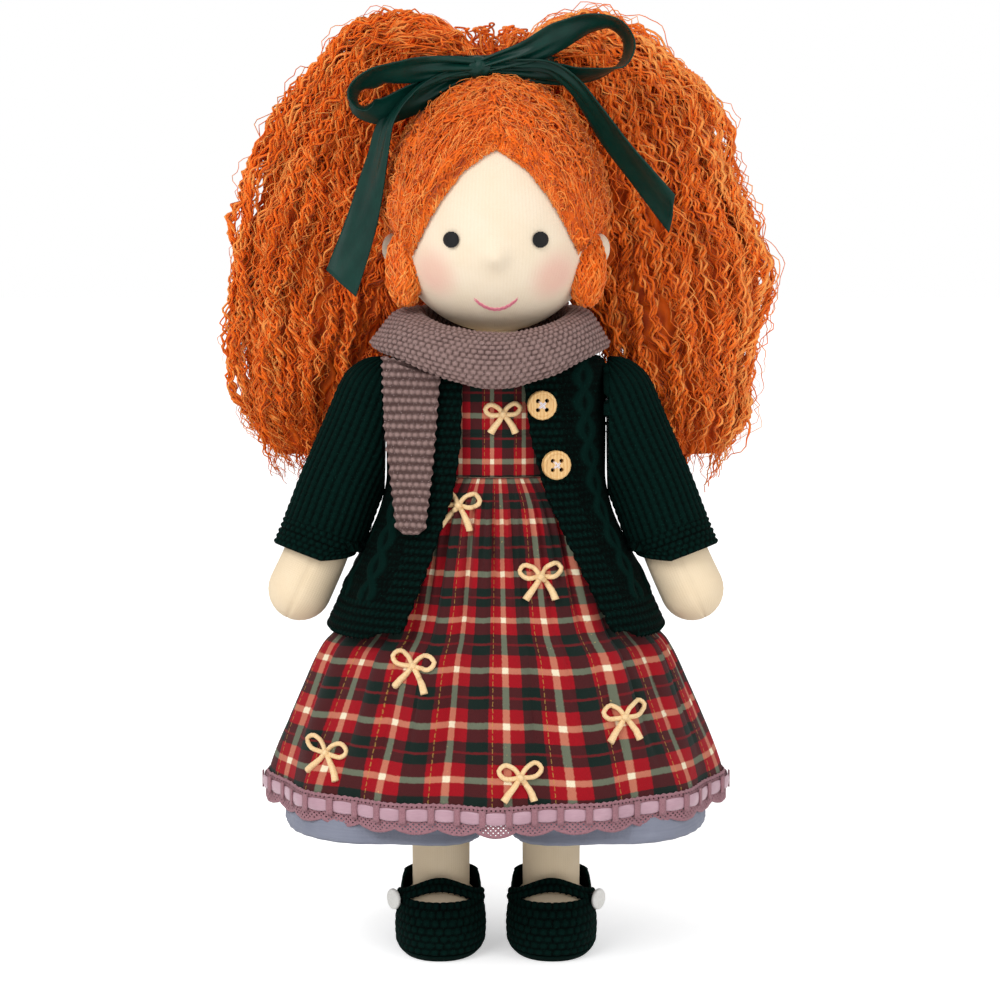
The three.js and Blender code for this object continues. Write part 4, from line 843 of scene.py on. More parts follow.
def cap_edge(turn):
    """How far down from the crown the cap reaches at each turn."""
    tilt = np.linspace(0.05, 2.6, 400)
    spots = head_point(turn[:, None], tilt[None], CAP_GROW)
    x, y, z = np.moveaxis(spots, -1, 0)
    front = np.interp(np.abs(x) / 1.1, HAIRLINE[:, 0], HAIRLINE[:, 1])
    side = 288.0 - smooth((y - 8) / 8) * 24
    front_share = smooth((-y - 8) / 8) * (np.abs(x) < 36)
    allowed = np.where(y < 0, np.maximum(front * front_share + side * (1 - front_share), 262), side)
    count = (z > allowed).sum(1)
    return tilt[np.clip(count - 1, 0, 399)]


cap_turns = turns_round(240)
cap_limits = cap_edge(cap_turns)


def on_cap(turn, share, lift):
    """A point over the cap: share 0 at the crown and 1 at its edge."""
    limit = np.interp(turn, cap_turns, cap_limits, period=2 * math.pi)
    return head_point(turn, 0.12 + share * (limit - 0.12), lift)


turns, shares = crossed(cap_turns, np.linspace(1, 0, 70))
base_lift = CAP_GROW * np.clip((1.02 - shares) * 14, 0.2, 1)
cap_base = on_cap(turns, shares, base_lift)
cap_base += outward(cap_base, True) * (0.9 * uneven(cap_base, 7, 3))[..., None]
cap = Shape()
# painted shade: the cap under the loops has a dark, slightly uneven tone for the shade between the loops
cap.cloth(cap_base, 3.4, tones=0.2 + 0.2 * uneven(cap_base, 5, 4), around=True)


# %% Loops of yarn all over the cap
def each_of(own, count):
    """Draws a number for each of some strands, as a column."""
    return lambda low, high: own.uniform(low, high, (count, 1))


def boucle_loops(shape, count, steps, loop, turns_each, radius, high, seed, tone):
    """Small loops of yarn lying over the cap in every direction."""
    own = np.random.default_rng(seed)
    each = each_of(own, count)
    turn = own.uniform(0, 2 * math.pi, count)
    share = own.uniform(0.02, 0.985, count) ** 0.62
    step = np.linspace(0, 1, steps)[None]
    heading = each(0, 2 * math.pi) + 1.2 * step * each(-1, 1)
    spin = 2 * math.pi * turns_each * step * each(0.7, 1.3)
    spin = spin + each(0, 6)
    size = loop * each(0.55, 1.3)
    travel = 9 * each(0.5, 1.5) * (step - 0.5)
    across = travel * np.cos(heading) + size * np.cos(spin)
    down = travel * np.sin(heading) + size * np.sin(spin)
    ring = np.maximum(44 * np.sin(np.clip(share, 0.15, 1) * 1.6)[:, None], 9)
    shares_now = np.clip(share[:, None] + down / 75, 0.02, 1.01)
    lift = CAP_GROW + 0.3 + high * (0.5 - 0.5 * np.cos(spin + each(0, 6)))
    lift = lift * (0.3 + 0.7 * smooth((1.03 - shares_now) * 9))
    lines = on_cap(turn[:, None] + across / ring, shares_now, lift)
    shape.strands(lines, radius * each(0.7, 1.2), own.uniform(*tone, count),
                  facing=unit(lines - [0, 0, FACE_LEVEL]))


boucle_loops(cap, count=1350, steps=22, loop=1.5, turns_each=2.4, radius=0.5, high=1.9, seed=21,
             tone=(0.05, 0.72))
cap.build("hair_boucle", MOHAIR, "head", "mohair", "hair_cap")

fuzz = Shape()
boucle_loops(fuzz, count=520, steps=20, loop=2.4, turns_each=1.6, radius=0.17, high=3.4, seed=22,
             tone=(0.75, 1.0))


# %% Strands combed up from the hairline
def combed_strands(shape, count, steps, seed):
    """Bright strands combed from the hairline up over the cap."""
    own = np.random.default_rng(seed)
    each = each_of(own, count)
    front = own.uniform(-2.75, -0.39, count)
    length = each(0.16, 0.5)
    share = 1.03 - np.linspace(0, 1, steps)[None] * length
    sway = 0.03 * np.sin(share * each(20, 40) + each(0, 6))
    lean = 0.25 * (1.03 - share) * each(-1, 1)
    start = 0.5 + each(0, 1.3)
    lift = start + (CAP_GROW + each(0.2, 1.9) - start) * smooth((1.03 - share) * 8)
    lines = on_cap(front[:, None] + sway + lean, share, lift)
    radii = 0.36 * each(0.5, 1.2) * np.clip(np.linspace(1.6, 0.5, steps), 0.5, 1)[None]
    shape.strands(lines, radii, own.uniform(0.4, 1.0, count), facing=unit(lines - [0, 0, FACE_LEVEL]))


combed_strands(fuzz, count=640, steps=24, seed=23)
fuzz.build("hair_combed", MOHAIR, "head", "mohair")

# %% A lock in front of each ear
LOCK = np.array([35.4, -12.5, 273])
LOCK_HALF, LOCK_CORE = (6.6, 8.4, 14.5), (6.1, 7.6, 13.2)
for name, side in SIDES:
    own = np.random.default_rng(31 + side)
    lock = Shape()
    count, steps = 230, 30
    each = each_of(own, count)
    turn = own.uniform(-2.9, 0.35, count)
    tilt = np.linspace(0.25, 2.8, steps)[None] * each(0.9, 1.05)
    waves, starts = each(5, 12), each(0, 6)
    turn_now = turn[:, None] + 0.2 * np.sin(tilt * waves + starts)
    grow = each(-1.2, 0.9) + 0.7 * np.sin(tilt * 11 + each(0, 6))
    middle = LOCK * [side, 1, 1]
    lines = ball(turn_now, tilt, side * (LOCK_HALF[0] + grow), LOCK_HALF[1] + grow, LOCK_HALF[2] + grow)
    lines = lines + (middle + [0, 0, 0.5])
    radii = 0.42 * each(0.5, 1.25)
    lock.strands(lines, radii, own.uniform(0.3, 1.0, count), facing=unit(lines - middle))
    # painted shade: the core inside the lock has a dark tone
    lock.solid(ball(*over_ball(24, 14, 0.1), *LOCK_CORE) + middle, 0.3)
    lock.build(f"side_lock_{name}", MOHAIR, "head", "mohair", f"hair_lock_{name}")

# %% [markdown]
# ## Ponytail
# The mohair was curled before it was tied, so every strand runs in small uneven waves and strands keep
# together in locks that wander a little. They rise out of the ribbon, part in the middle and fall wide
# on both sides. A mass of hair inside keeps light from passing through; its dark tone is painted shade.
# Strands could be combed by hand, but then nobody could say how wide the hair is. Each one is given a place
# between the inner and the outer edge as measured in front view, and its waves are added to that.

# %% The edges of the bunches
OUTER_EDGE = [[10, 352], [13, 362], [24, 369.5], [40, 372], [54, 368], [71, 355], [84, 342], [92, 328],
              [97, 315], [101, 302], [106, 289], [108, 278], [109.5, 266], [108.5, 255], [107.5, 242],
              [106, 230], [104, 218], [100, 205], [94, 193], [87, 180]]
INNER_EDGE = [[4, 352], [8, 358], [14, 357], [20, 348], [25, 335], [27, 318], [27.5, 300], [28.5, 285],
              [31, 271], [33, 261], [37, 251], [41, 242], [47, 230], [55, 212], [61, 196], [67, 183]]
MANE_DEPTH = [[176, 36, 7], [200, 36, 11], [240, 35, 12.5], [267, 34, 12.8], [300, 29, 12.8], [340, 27, 12],
              [362, 22, 11], [376, 20, 9]]
LOCKS = 64
ROOT_Y, ROOT_HALF = 10, (23.5, 15.5)


def edge_line(edge):
    """An edge of the front view as a smooth line at the doll's middle."""
    return along([[x, 0, z] for x, z in edge], 80)


OUTER, INNER = edge_line(OUTER_EDGE), edge_line(INNER_EDGE)


def between_edges(w, s):
    """Places between the mane's inner edge, w = 0, and outer edge, w = 1, at shares s of its length."""
    at = np.linspace(0, 1, 80)
    inner = xyz(np.interp(s, at, INNER[:, 0]), 0, np.interp(s, at, INNER[:, 2]))
    outer = xyz(np.interp(s, at, OUTER[:, 0]), 0, np.interp(s, at, OUTER[:, 2]))
    return inner * (1 - w[..., None]) + outer * w[..., None]


# %% Curled strands
def mane_strands(side, count, steps, seed, depths, radius, spread=0.0):
    """Curled strands of one side bunch, as lines, radii and tones."""
    lock_rng = np.random.default_rng(400 + side)
    own = np.random.default_rng(seed)
    each = each_of(own, count)
    lock_w, lock_d = lock_rng.uniform(0.0, 1.0, LOCKS), lock_rng.uniform(-1, 1, LOCKS)
    lock_end, lock_tone = lock_rng.uniform(0.84, 1.02, LOCKS), lock_rng.uniform(-0.14, 0.2, LOCKS)
    lock_turn = lock_rng.uniform(0, 2 * math.pi, (5, LOCKS))
    lock_curl = lock_rng.uniform(5.8, 8.6, LOCKS)
    w, d = own.uniform(0, 1, count) ** 0.9, own.uniform(*depths, count)
    near = np.argmin((w[:, None] - lock_w) ** 2 + 0.12 * (d[:, None] - lock_d) ** 2, 1)
    s = np.linspace(0, 1, steps)[None] * lock_end[near][:, None] * each(0.9, 1.0)
    pull = 0.72 * smooth(s * 1.6)
    w_now = w[:, None] * (1 - pull) + lock_w[near][:, None] * pull
    d_now = d[:, None] * (1 - pull) + lock_d[near][:, None] * pull
    lines = between_edges(w_now, s)
    reach = eased(MANE_DEPTH, lines[..., 2])
    round_off = np.sqrt(np.clip(1 - (2 * w_now - 1) ** 2 * 0.8, 0, 1))
    root = smooth(s / 0.14)
    spread_out = reach[..., 0] + d_now * reach[..., 1] * round_off
    lines[..., 1] = (ROOT_Y + 13 * d[:, None]) * (1 - root) + spread_out * root
    length = np.cumsum(np.linalg.norm(np.diff(lines, axis=1, prepend=lines[:, :1]), axis=-1), 1)
    aside = unit(np.cross(unit(np.gradient(lines, axis=1)), [0, 1, 0]))
    loose = smooth(s / 0.16)
    turn = [angles[near][:, None] for angles in lock_turn]
    wander = 2.6 * np.sin(length / 12 + turn[0]) + 1.5 * np.sin(length / 5.2 + turn[1])
    wander_deep = 2.0 * np.sin(length / 10 + turn[2]) + 1.2 * np.sin(length / 4.6 + turn[3])
    own_turn = own.uniform(0, 2 * math.pi, (3, count, 1))
    stray = each(0.3, 1.0 + spread) * 1.7
    wander = wander + stray * np.sin(length / 4.1 + own_turn[0])
    wander_deep = wander_deep + stray * np.cos(length / 4.4 + own_turn[1])
    wave = 2 * math.pi * length / lock_curl[near][:, None] + turn[4] + own.normal(0, 0.7, (count, 1))
    wave = wave + 1.3 * np.sin(length / 8.3 + own_turn[2])
    size = each(0.55, 1.25) * (1 + 0.35 * np.sin(length / 9 + own_turn[0]))
    lines += aside * (loose * (wander + size * np.sin(wave)))[..., None]
    lines[..., 1] += loose * (wander_deep + size * np.cos(wave))
    lines += aside * (spread * 3.4 * loose * np.sin(length / 21 + own_turn[1]))[..., None]
    lines[..., 0] *= side
    share = np.linspace(0, 1, steps)[None]
    radii = radius * each(0.6, 1.2) * np.clip((1 - share) * 12, 0.3, 1)
    # painted light and shade on each strand's own tone: lighter along the crest of each crimp wave and at
    # the bunch's outer edge, darker at its inner edge and in the strands behind
    tone = each(0.2, 0.9) + lock_tone[near][:, None] + 0.16 * np.sin(wave)
    tone = tone + 0.22 * smooth((w_now - 0.7) * 3.3) - 0.16 * (1 - smooth(w_now * 3)) - 0.12 * (d_now > 0.2)
    return lines, radii, np.clip(tone, 0, 1)


# %% Both bunches
for name, side in SIDES:
    bunch = Shape()
    bunch.strands(*mane_strands(side, 190, 170, 40 + side, depths=(-1, -0.1), radius=0.66))
    bunch.build(f"mane_{name}", MOHAIR, "head", "mohair", f"hair_bunch_{name}")
    middle = Shape()
    middle.strands(*mane_strands(side, 190, 150, 50 + side, depths=(-0.9, 0.6), radius=0.6))
    middle.build(f"mane_middle_{name}", MOHAIR, "head", "mohair")
    behind = Shape()
    behind.strands(*mane_strands(side, 150, 90, 60 + side, depths=(0.2, 1.0), radius=0.95))
    behind.strands(*mane_strands(side, 180, 110, 70 + side, depths=(-1.2, 0.9), radius=0.24, spread=1.2))
    core_turn, core_s = crossed(turns_round(150), np.linspace(0.12, 0.93, 150))
    ridge = np.cos(core_turn * 22 + 2.5 * np.sin(core_s * 34) + 1.7 * np.sin(core_s * 81 + core_turn * 2))
    inside = between_edges(0.5 + (0.36 + 0.014 * ridge) * np.cos(core_turn), core_s)
    deep = eased(MANE_DEPTH, inside[..., 2])
    inside[..., 1] = deep[..., 0] + (0.45 + 0.07 * ridge) * deep[..., 1] * np.sin(core_turn)
    inside[..., 0] *= side
    inside = inside if side < 0 else inside[::-1]
    # painted shade: the mass inside has a dark tone, darker still in the grooves between its ridges
    behind.solid(inside, 0.15 + 0.2 * ridge)
    behind.build(f"mane_behind_{name}", MOHAIR, "head", "mohair")

# %% [markdown]
# Behind the head the rest of the ponytail falls straight down the back. Under the ribbon the strands
# are gathered into a short root, and short ends stand up out of it in tufts. All this could be copied
# from the sides, but it has no parting, so one line down the back carries it more simply.

# %% The fall behind
own = np.random.default_rng(71)
count, steps, tresses = 300, 90, 24
each = each_of(own, count)
tress = own.integers(0, tresses, count)
tress_turn = own.uniform(0, 2 * math.pi, (4, tresses))[:, tress][..., None]
tress_tone = own.uniform(-0.2, 0.2, tresses)[tress][:, None]
start_x, depth = own.uniform(-1, 1, count), own.uniform(-1.9, 1, count)
fall_line = along([[0, 24, 352], [0, 34, 361], [0, 47, 357], [0, 54, 340], [0, 56.5, 310], [0, 56.5, 270],
                   [0, 55.5, 240], [0, 54, 214]], steps)
widths = eased([[212, 26], [232, 36], [256, 37], [275, 25], [345, 22], [362, 12]], fall_line[:, 2])[:, 0]
fall = np.repeat(fall_line[None], count, 0)
share = np.linspace(0, 1, steps)[None]
root = smooth(share / 0.2)
fall[..., 0] = start_x[:, None] * (9 + (widths[None] - 9) * root)
fall[..., 1] += depth[:, None] * (2.6 + 2.4 * root)
length = 180 * share
wave = 2 * math.pi * length / each(5.8, 8.8) + each(0, 6.3)
wave = wave + 1.4 * np.sin(length / 8.3 + each(0, 6.3))
size = each(0.5, 1.2) * (1 + 0.35 * np.sin(length / 9 + wave * 0.1))
fall[..., 0] += root * (size * np.sin(wave) + 2.4 * np.sin(length / 12 + tress_turn[0])
                        + 1.3 * np.sin(length / 5.4 + tress_turn[1]))
fall[..., 1] += root * (0.8 * size * np.cos(wave) + 1.5 * np.sin(length / 10 + tress_turn[2])
                        + 0.8 * np.sin(length / 5 + tress_turn[3]))
fall[..., 2] += each(-8, 5) * share
back = Shape()
# painted light: the tone rises along the crest of each crimp wave, on top of each strand's and tress's own
# tone
tone = np.clip(each(0.1, 0.85) + tress_tone + 0.16 * np.sin(wave), 0, 1)
thick = each(0.5, 0.9) * np.clip((1 - share) * 12, 0.35, 1)
back.strands(fall, thick, tone, facing=(1, 0, 0))
back.build("mane_back", MOHAIR, "head", "mohair", "hair_back")

# %% The root and its tufts
root_turn = turns_round(96)[:, None]
root_radius = oval(root_turn, *ROOT_HALF) * (1 + 0.05 * np.cos(root_turn * 16))
gathered = Shape()
# painted shade: the gathered root's tone is darker in the grooves between its ridges and lighter on them
gathered.solid(round_at(root_turn, root_radius, np.linspace(345, 355, 12), y=ROOT_Y),
               0.4 + 0.3 * np.cos(root_turn * 16))
count, steps = 260, 34
each = each_of(own, count)
out_x, out_y = own.uniform(-1, 1, count), own.uniform(-1, 1, count)
share = np.linspace(0, 1, steps)[None]
high = each(5, 17) * (1 - 0.25 * np.abs(out_x[:, None]))
splay = each(5, 30) * np.sign(out_x[:, None]) * np.abs(out_x[:, None]) ** 0.6
curl = own.uniform(0, 6.3, (2, count, 1))
tufts = xyz(out_x[:, None] * 17 + splay * share ** 1.4 + 1.5 * share * np.sin(share * 17 + curl[0]),
            ROOT_Y + out_y[:, None] * 12 * (1 + 0.4 * share) + 1.4 * share * np.cos(share * 15 + curl[1]),
            352.5 + high * np.sin(share * each(1.6, 2.5)))
gathered.strands(tufts, 0.5 * np.clip((1 - share) * 9, 0.3, 1), own.uniform(0.15, 0.95, count))
gathered.build("ponytail_base", MOHAIR, "head", "mohair", "ponytail_root")

# %% [markdown]
# ## Ribbon and bow
# Satin ribbon 15 mm wide goes once round the root and is tied in a soft bow. It is gathered small
# under the knot, so its folds start there and run out along the loops and tails. The loops stand with
# their edge forward, and each tail turns its face as it falls. Its ends are cut on a slant. A cloth
# simulation could tie it but wouldn't end in this one bow, so a strip is led along a few points, with
# a lean at each, and its pleats grow where it narrows.

# %% A strip of ribbon
KNOT, KNOT_HALF = np.array([-7.0, -11.8, 351.6]), (5.3, 3.2, 4.3)
BAND_HALF = (24.6, 16.6)
RIBBON_WIDTH = 15.0
RIBBON_THICK = 0.5
LOOP_WIDTHS = [6, 10, 14.5, 15, 15, 15, 14, 9, 6]
TAIL_WIDTHS = [5, 8, 12, 15, 15, 15]


def ribbon_piece(line, leans, widths, pleat, seed, cut=0.0):
    """A strip along a line. leans are the way across it and widths its width, from start to end."""
    steps, rows = len(line), 22
    at = np.linspace(0, 1, steps)
    ahead = unit(np.gradient(line, axis=0))
    leans = np.array(leans, float)
    spots = np.linspace(0, 1, len(leans))
    across = xyz(*(np.interp(at, spots, leans[:, k]) for k in range(3)))
    across = unit(across - ahead * (across * ahead).sum(-1, keepdims=True))
    face = np.cross(ahead, across)
    span = np.linspace(-0.5, 0.5, rows)
    width = np.interp(at, np.linspace(0, 1, len(widths)), widths)
    grid = line[:, None] + across[:, None] * (span[:, None] * width[:, None, None])
    deep = pleat * np.clip((RIBBON_WIDTH - width) / 7, 0, 1)
    fold = np.sin(span * 2 * math.pi * 2.6 + seed)[None] * deep[:, None]
    fold = fold + 0.45 * np.sin(span * 7 + 5 * at[:, None] + seed)
    grid = grid + face[:, None] * fold[..., None]
    grid = grid + ahead[:, None] * (span[:, None] * cut * smooth((at - 0.7) / 0.3)[:, None, None])
    shape = Shape()
    shape.cloth(grid, RIBBON_THICK)
    return shape, flat_of(grid, False)[-1, 0, 0]


def bow_places(side, rows):
    """Places round the knot from rows of how far out, back and up each lies."""
    return KNOT + np.array([[side * out, back, up] for out, back, up in rows])


# %% Where the bow's ribbon runs
LOOPS = {
    "left": ([[1, -1, 0], [9, -3, 2.2], [19, -5, 5], [33, -7, 12], [44, -7, 16.2], [53, -5, 15.6],
              [58, -1, 9.5], [56.5, 2.5, 2.5], [50, 4, -1.5], [39, 3.5, -3.4], [26, 2.5, -2.2],
              [13, 1, -0.8], [1, 1, 0]],
             [[0, -0.4, 1], [-0.25, -0.45, 1], [-0.3, -0.8, 0.6], [0.1, -1, 0.25], [0.3, -1, 0.1],
              [0, -1, 0.45], [0, -0.6, 0.9], [0, -0.4, 1]]),
    "right": ([[1, -1, 0], [13, -4, -0.2], [28, -7, -1.6], [40, -8, -3.6], [46.5, -5, -9], [45.5, 0, -15.5],
               [38.5, 2.5, -17.5], [27, 2.5, -13.5], [14, 1.5, -6.5], [1, 1, -0.5]],
              [[0, -0.4, 1], [0, -0.65, 0.75], [0, -0.9, 0.45], [0.1, -0.9, 0.5], [0.3, -0.75, 0.7],
               [0.3, -0.5, 1], [0, -0.4, 1]]),
}
TAILS = {
    "left": ([[1, 0, 0], [16, -2, 0.6], [28, -2.5, -0.6], [37, -2, -7], [44, -1, -16], [53, 0, -28.5],
              [64, 0, -42], [76, 1, -57]],
             [[0, -0.6, 0.8], [0.2, -0.8, 0.5], [0.4, -0.85, 0.35], [0.4, -0.8, 0.4], [0.5, -0.75, 0.5]],
             -11),
    "right": ([[1, 0, -1], [14, -1, -4], [27, 0, -10.5], [35, 1, -20], [39.5, 1, -36], [45.5, 0, -59],
               [54, 0, -84]],
              [[0, -0.5, 1], [-0.5, -0.85, 0.2], [-0.6, -0.8, 0.2], [-0.85, -0.5, 0.3],
               [-0.95, -0.2, 0.35]], 6),
}
for name, side in SIDES:
    rows, leans = LOOPS[name]
    leans = [[side * x, y, z] for x, y, z in leans]
    shape, length = ribbon_piece(along(bow_places(side, rows), 72), leans, LOOP_WIDTHS, 1.0, side)
    loop = shape.build(f"bow_loop_{name}", RIBBON, "head", "satin_ribbon", f"ribbon_loop_{name}")
    rows, leans, cut = TAILS[name]
    leans = [[side * x, y, z] for x, y, z in leans]
    shape, length = ribbon_piece(along(bow_places(side, rows), 64), leans, TAIL_WIDTHS, 0.9, 2 - side, cut)
    tail = shape.build(f"bow_tail_{name}", RIBBON, "head", "satin_ribbon", f"ribbon_tail_{name}")

# %% The band and the knot
band_turn, band_z = turns_round(128)[:, None], np.linspace(347.9, 356.2, 14)
band_fold = 0.35 * np.sin(band_z * 2.1) + 0.2 * np.sin(band_turn * 9)
band_radius = oval(band_turn, *BAND_HALF) + band_fold
band = Shape()
band.cloth(round_at(band_turn, band_radius, band_z, y=ROOT_Y), RIBBON_THICK, around=True)
band_piece = band.build("ribbon_round_root", RIBBON, "head", "satin_ribbon", "ribbon_band")

turn, tilt = over_ball(48, 28, 0.05)
knot_wave = 1 + 0.06 * np.cos(turn * 7 + tilt * 2)
knot = Shape()
knot.solid(KNOT + ball(turn, tilt, KNOT_HALF[0] * knot_wave, KNOT_HALF[1] * knot_wave, KNOT_HALF[2]))
knot.build("bow_knot", RIBBON, "head", "satin_ribbon", "ribbon_knot")

# %% [markdown]
# ## Torso, arms and legs
# The trunk is one jersey bag filled with wool. Each limb is a jersey tube that swells and tapers,
# ends in a round mitten or a foot, and has a seam down its front. Metaballs would swell as softly but
# melt the limbs together. Rings round a line, with a radius at a few places, keep each a piece.

# %% The trunk
TORSO = [[120.5, 15.5, 12.5], [130, 29, 20], [139.3, 34, 24], [158.2, 35.5, 25], [189.5, 31.4, 22.5],
         [207.7, 34.2, 22.8], [225.9, 37, 23], [236, 28.1, 18.5], [242.2, 17, 15], [246, 15.9, 14.5]]


def on_form(table, turn, z, grow=0.0):
    """Points round a form, grown by a few millimetres or shrunk."""
    size = eased(table, z) + grow
    return round_at(turn, oval(turn, size[..., 0], size[..., 1]), z)


trunk = Shape()
trunk.solid(on_form(TORSO, turns_round(96)[:, None], np.linspace(120.9, 245.6, 70), -0.15))
trunk_piece = trunk.build("trunk", LIMBS, "torso", "skin_knit", "torso_skin", "torso_stuffing")

# %% Arms
ARM = np.array([[46.6, 0, 221, 14], [52.3, -1.1, 207.1, 14], [61.5, -3.6, 187.1, 13.2],
                [67.4, -5.9, 171.4, 12.7], [72.4, -7.7, 158.4, 12.6], [78, -9, 146.2, 12.8]])
ARM_START = 47.6
SEAM_WIDE, SEAM_DEEP = 0.07, 0.5


def limb_rings(line, radii, count):
    """Rings round a line, from its far end up to its start, with the way round anticlockwise."""
    ahead = unit(np.gradient(line, axis=0))
    first = unit(np.cross(ahead, [0.0, 1.0, 0.0]))
    second = np.cross(ahead, first)
    turn = turns_round(count)[:, None]
    ring = first[None] * np.cos(turn)[..., None] + second[None] * np.sin(turn)[..., None]
    return line[None] + ring * radii[None, :, None]


def domed(rows, steps, far_end=True):
    """A line through rows [x, y, z, radius] as points and radii, with its ends made round."""
    line = along(rows[:, :3], steps)
    reach = np.linspace(0, 1, steps)
    radii = eased(np.column_stack([np.linspace(0, 1, len(rows)), rows[:, 3]]), reach)[:, 0]
    share = np.sin(np.linspace(0.02, 1, 9)[:-1] * math.pi / 2)
    ahead = unit(np.gradient(line, axis=0))
    lead = line[0] - ahead[0] * radii[0] * share[::-1, None]
    line, radii = np.vstack([lead, line]), np.append(radii[0] * np.sqrt(1 - share[::-1] ** 2), radii)
    if far_end:
        trail = line[-1] + ahead[-1] * radii[-1] * share[:, None]
        line, radii = np.vstack([line, trail]), np.append(radii, radii[-1] * np.sqrt(1 - share ** 2))
    return line, np.maximum(radii, 0.25)


for name, side in SIDES:
    rows = ARM * [side, 1, 1, 1]
    rows[:, 3] -= 0.15
    line, radii = domed(rows, 60)
    arm_grid = limb_rings(line[::-1], radii[::-1], 64)
    seam = np.exp(-((turns_round(64) - math.pi / 2) / SEAM_WIDE) ** 2)
    arm_grid -= outward(arm_grid, True) * (SEAM_DEEP * seam)[:, None, None]
    arm_grid[..., 0] = side * np.maximum(side * arm_grid[..., 0], ARM_START)
    arm = Shape()
    arm.solid(arm_grid)
    arm_piece = arm.build(f"arm_{name}_jersey", LIMBS, f"arm_{name}", "skin_knit",
                          f"arm_skin_{name}", f"arm_stuffing_{name}")

# %% Legs
SHOE = [[0, 15.6, 25.2, -5.8], [3.5, 18, 28.1, -6.1], [9.9, 18.4, 28.3, -5.8], [18, 17.5, 24.1, -2.8],
        [24.1, 16.2, 18.9, 1.3], [29, 15.3, 16, 3.6], [31, 15.2, 15.6, 3.9]]
SHOE_SQUARE = 2.15
LEG_X, LEG_Y = 22.4, 4
HIP_HEIGHT, HIP_RADIUS = 126, 12.2


def round_foot(side, heights, count, grow=0.0):
    """A grid round the shoe's own form, grown or shrunk."""
    turn = turns_round(count)[:, None]
    size = eased(SHOE, heights)
    radius = oval(turn, size[:, 0] + grow, size[:, 1] + grow, SHOE_SQUARE)
    return round_at(turn, radius, heights, side * LEG_X, size[:, 2])


for name, side in SIDES:
    leg = Shape()
    dome = HIP_RADIUS * np.sin(np.linspace(0.05, 1.5, 12))
    shaft_z = np.concatenate([np.linspace(14, HIP_HEIGHT, 60), HIP_HEIGHT + dome])
    shaft_r = eased([[12.6, 11.6], [56.7, 11.85], [HIP_HEIGHT, HIP_RADIUS]], shaft_z)[:, 0]
    dome_r = np.sqrt(np.maximum(HIP_RADIUS ** 2 - (shaft_z - HIP_HEIGHT) ** 2, 0.2))
    shaft_r = np.where(shaft_z > HIP_HEIGHT, dome_r, shaft_r) - 0.1
    turn = turns_round(64)[:, None]
    seam = 0.45 * np.exp(-((turn - 1.5 * math.pi) / 0.08) ** 2)
    leg.solid(round_at(turn, shaft_r - seam, shaft_z, side * LEG_X, LEG_Y))
    foot_z = np.linspace(3.5, 25.2, 26)
    foot = round_foot(side, foot_z, 64, -2.9)
    crown = smooth((foot_z - 19) / 6.2)
    foot[..., 0] = side * LEG_X + (foot[..., 0] - side * LEG_X) * (1 - 0.35 * crown ** 2)
    foot[..., 1] = LEG_Y + (foot[..., 1] - LEG_Y) * (1 - 0.35 * crown ** 2)
    leg.solid(foot)
    leg_piece = leg.build(f"leg_{name}_jersey", LIMBS, f"leg_{name}", "skin_knit",
                          f"leg_skin_{name}", f"leg_stuffing_{name}")

# %% [markdown]
# ## Dress
# The skirt is one long strip of tartan gathered into the waist. The gathers are small and close at the
# seam, and open into soft folds at the hem. The bodice is cut from the same cloth. A simulation could
# drop the cloth. Waves that are added to the skirt's form keep its hem as wide as it was measured.

# %% The skirt's form and folds
HEM, WAIST, ARMHOLE = 68.5, 192.0, 209
BODICE_GROW, BODICE_THICK, SKIRT_THICK = 1.1, 0.6, 0.7
FOLD_DEEP, GATHERS, CREASES = 2.4, 56, 28
PLAID_START, PLAID_REPEAT = math.radians(-86.3), math.radians(20)
SKIRT = [[68.5, 90.6, 72.4], [88.3, 86.4, 69.1], [108, 78.8, 63.1], [124, 71.2, 57.2], [132.7, 63.1, 50.8],
         [156, 52.9, 42.8], [180, 42.6, 34.6], [192, 33.3, 24.0]]
PLAID_ROWS = [[50, 6.5], [80.3, 5], [100.2, 4], [120.7, 3], [138.8, 2], [156.2, 1], [176.1, 0],
              [192, -1.08]]


def main_folds(turn, z):
    """The folds that the whole skirt stands in, as mm inwards or outwards."""
    deep = FOLD_DEEP * np.clip((132.7 - z) / 64.2, 0, 1)
    return deep * (0.7 * np.cos(12 * turn) + 0.3 * np.cos(8 * turn) - 0.3)


def skirt_points(turn, z):
    """The skirt's cloth with its gathers at the waist and the soft folds below."""
    size = eased(SKIRT, z)
    gather = -1 + np.cos(turn * GATHERS + 1.3 * np.sin(turn * 5) + 0.5 * np.sin(z * 0.12 + turn * 9))
    gather = gather * (0.35 + 0.75 * smooth((190 - z) / 14)) * smooth((z - 126) / 50)
    middle = smooth((z - 70) / 26) * (1 - smooth((z - 130) / 60))
    ripple = 1.3 * np.sin(turn * 12 + 2.2 * np.sin(turn * 3)) + 0.7 * np.sin(turn * 19 + 3)
    wander = 0.9 * np.sin(3 * turn + 1) + 0.25 * np.sin(z * 0.04 + turn * 5)
    crease = np.abs(np.sin(CREASES / 2 * turn + wander)) ** 0.45 - 1
    crease = crease * 2.3 * smooth((z - 69) / 34) * (1 - smooth((z - 176) / 14))
    folds = main_folds(turn, z) + gather + (ripple - 2.6) * middle + crease
    radius = oval(turn, size[..., 0], size[..., 1]) + folds
    return round_at(turn, radius, z)


def front_point(points_at, x, z):
    """The point of a form's front straight ahead of a place in the front view."""
    turn = np.linspace(-math.pi * 0.98, -math.pi * 0.02, 1500)
    spots = points_at(turn, np.full_like(turn, z))
    return spots[np.argmin(np.abs(spots[:, 0] - x))]


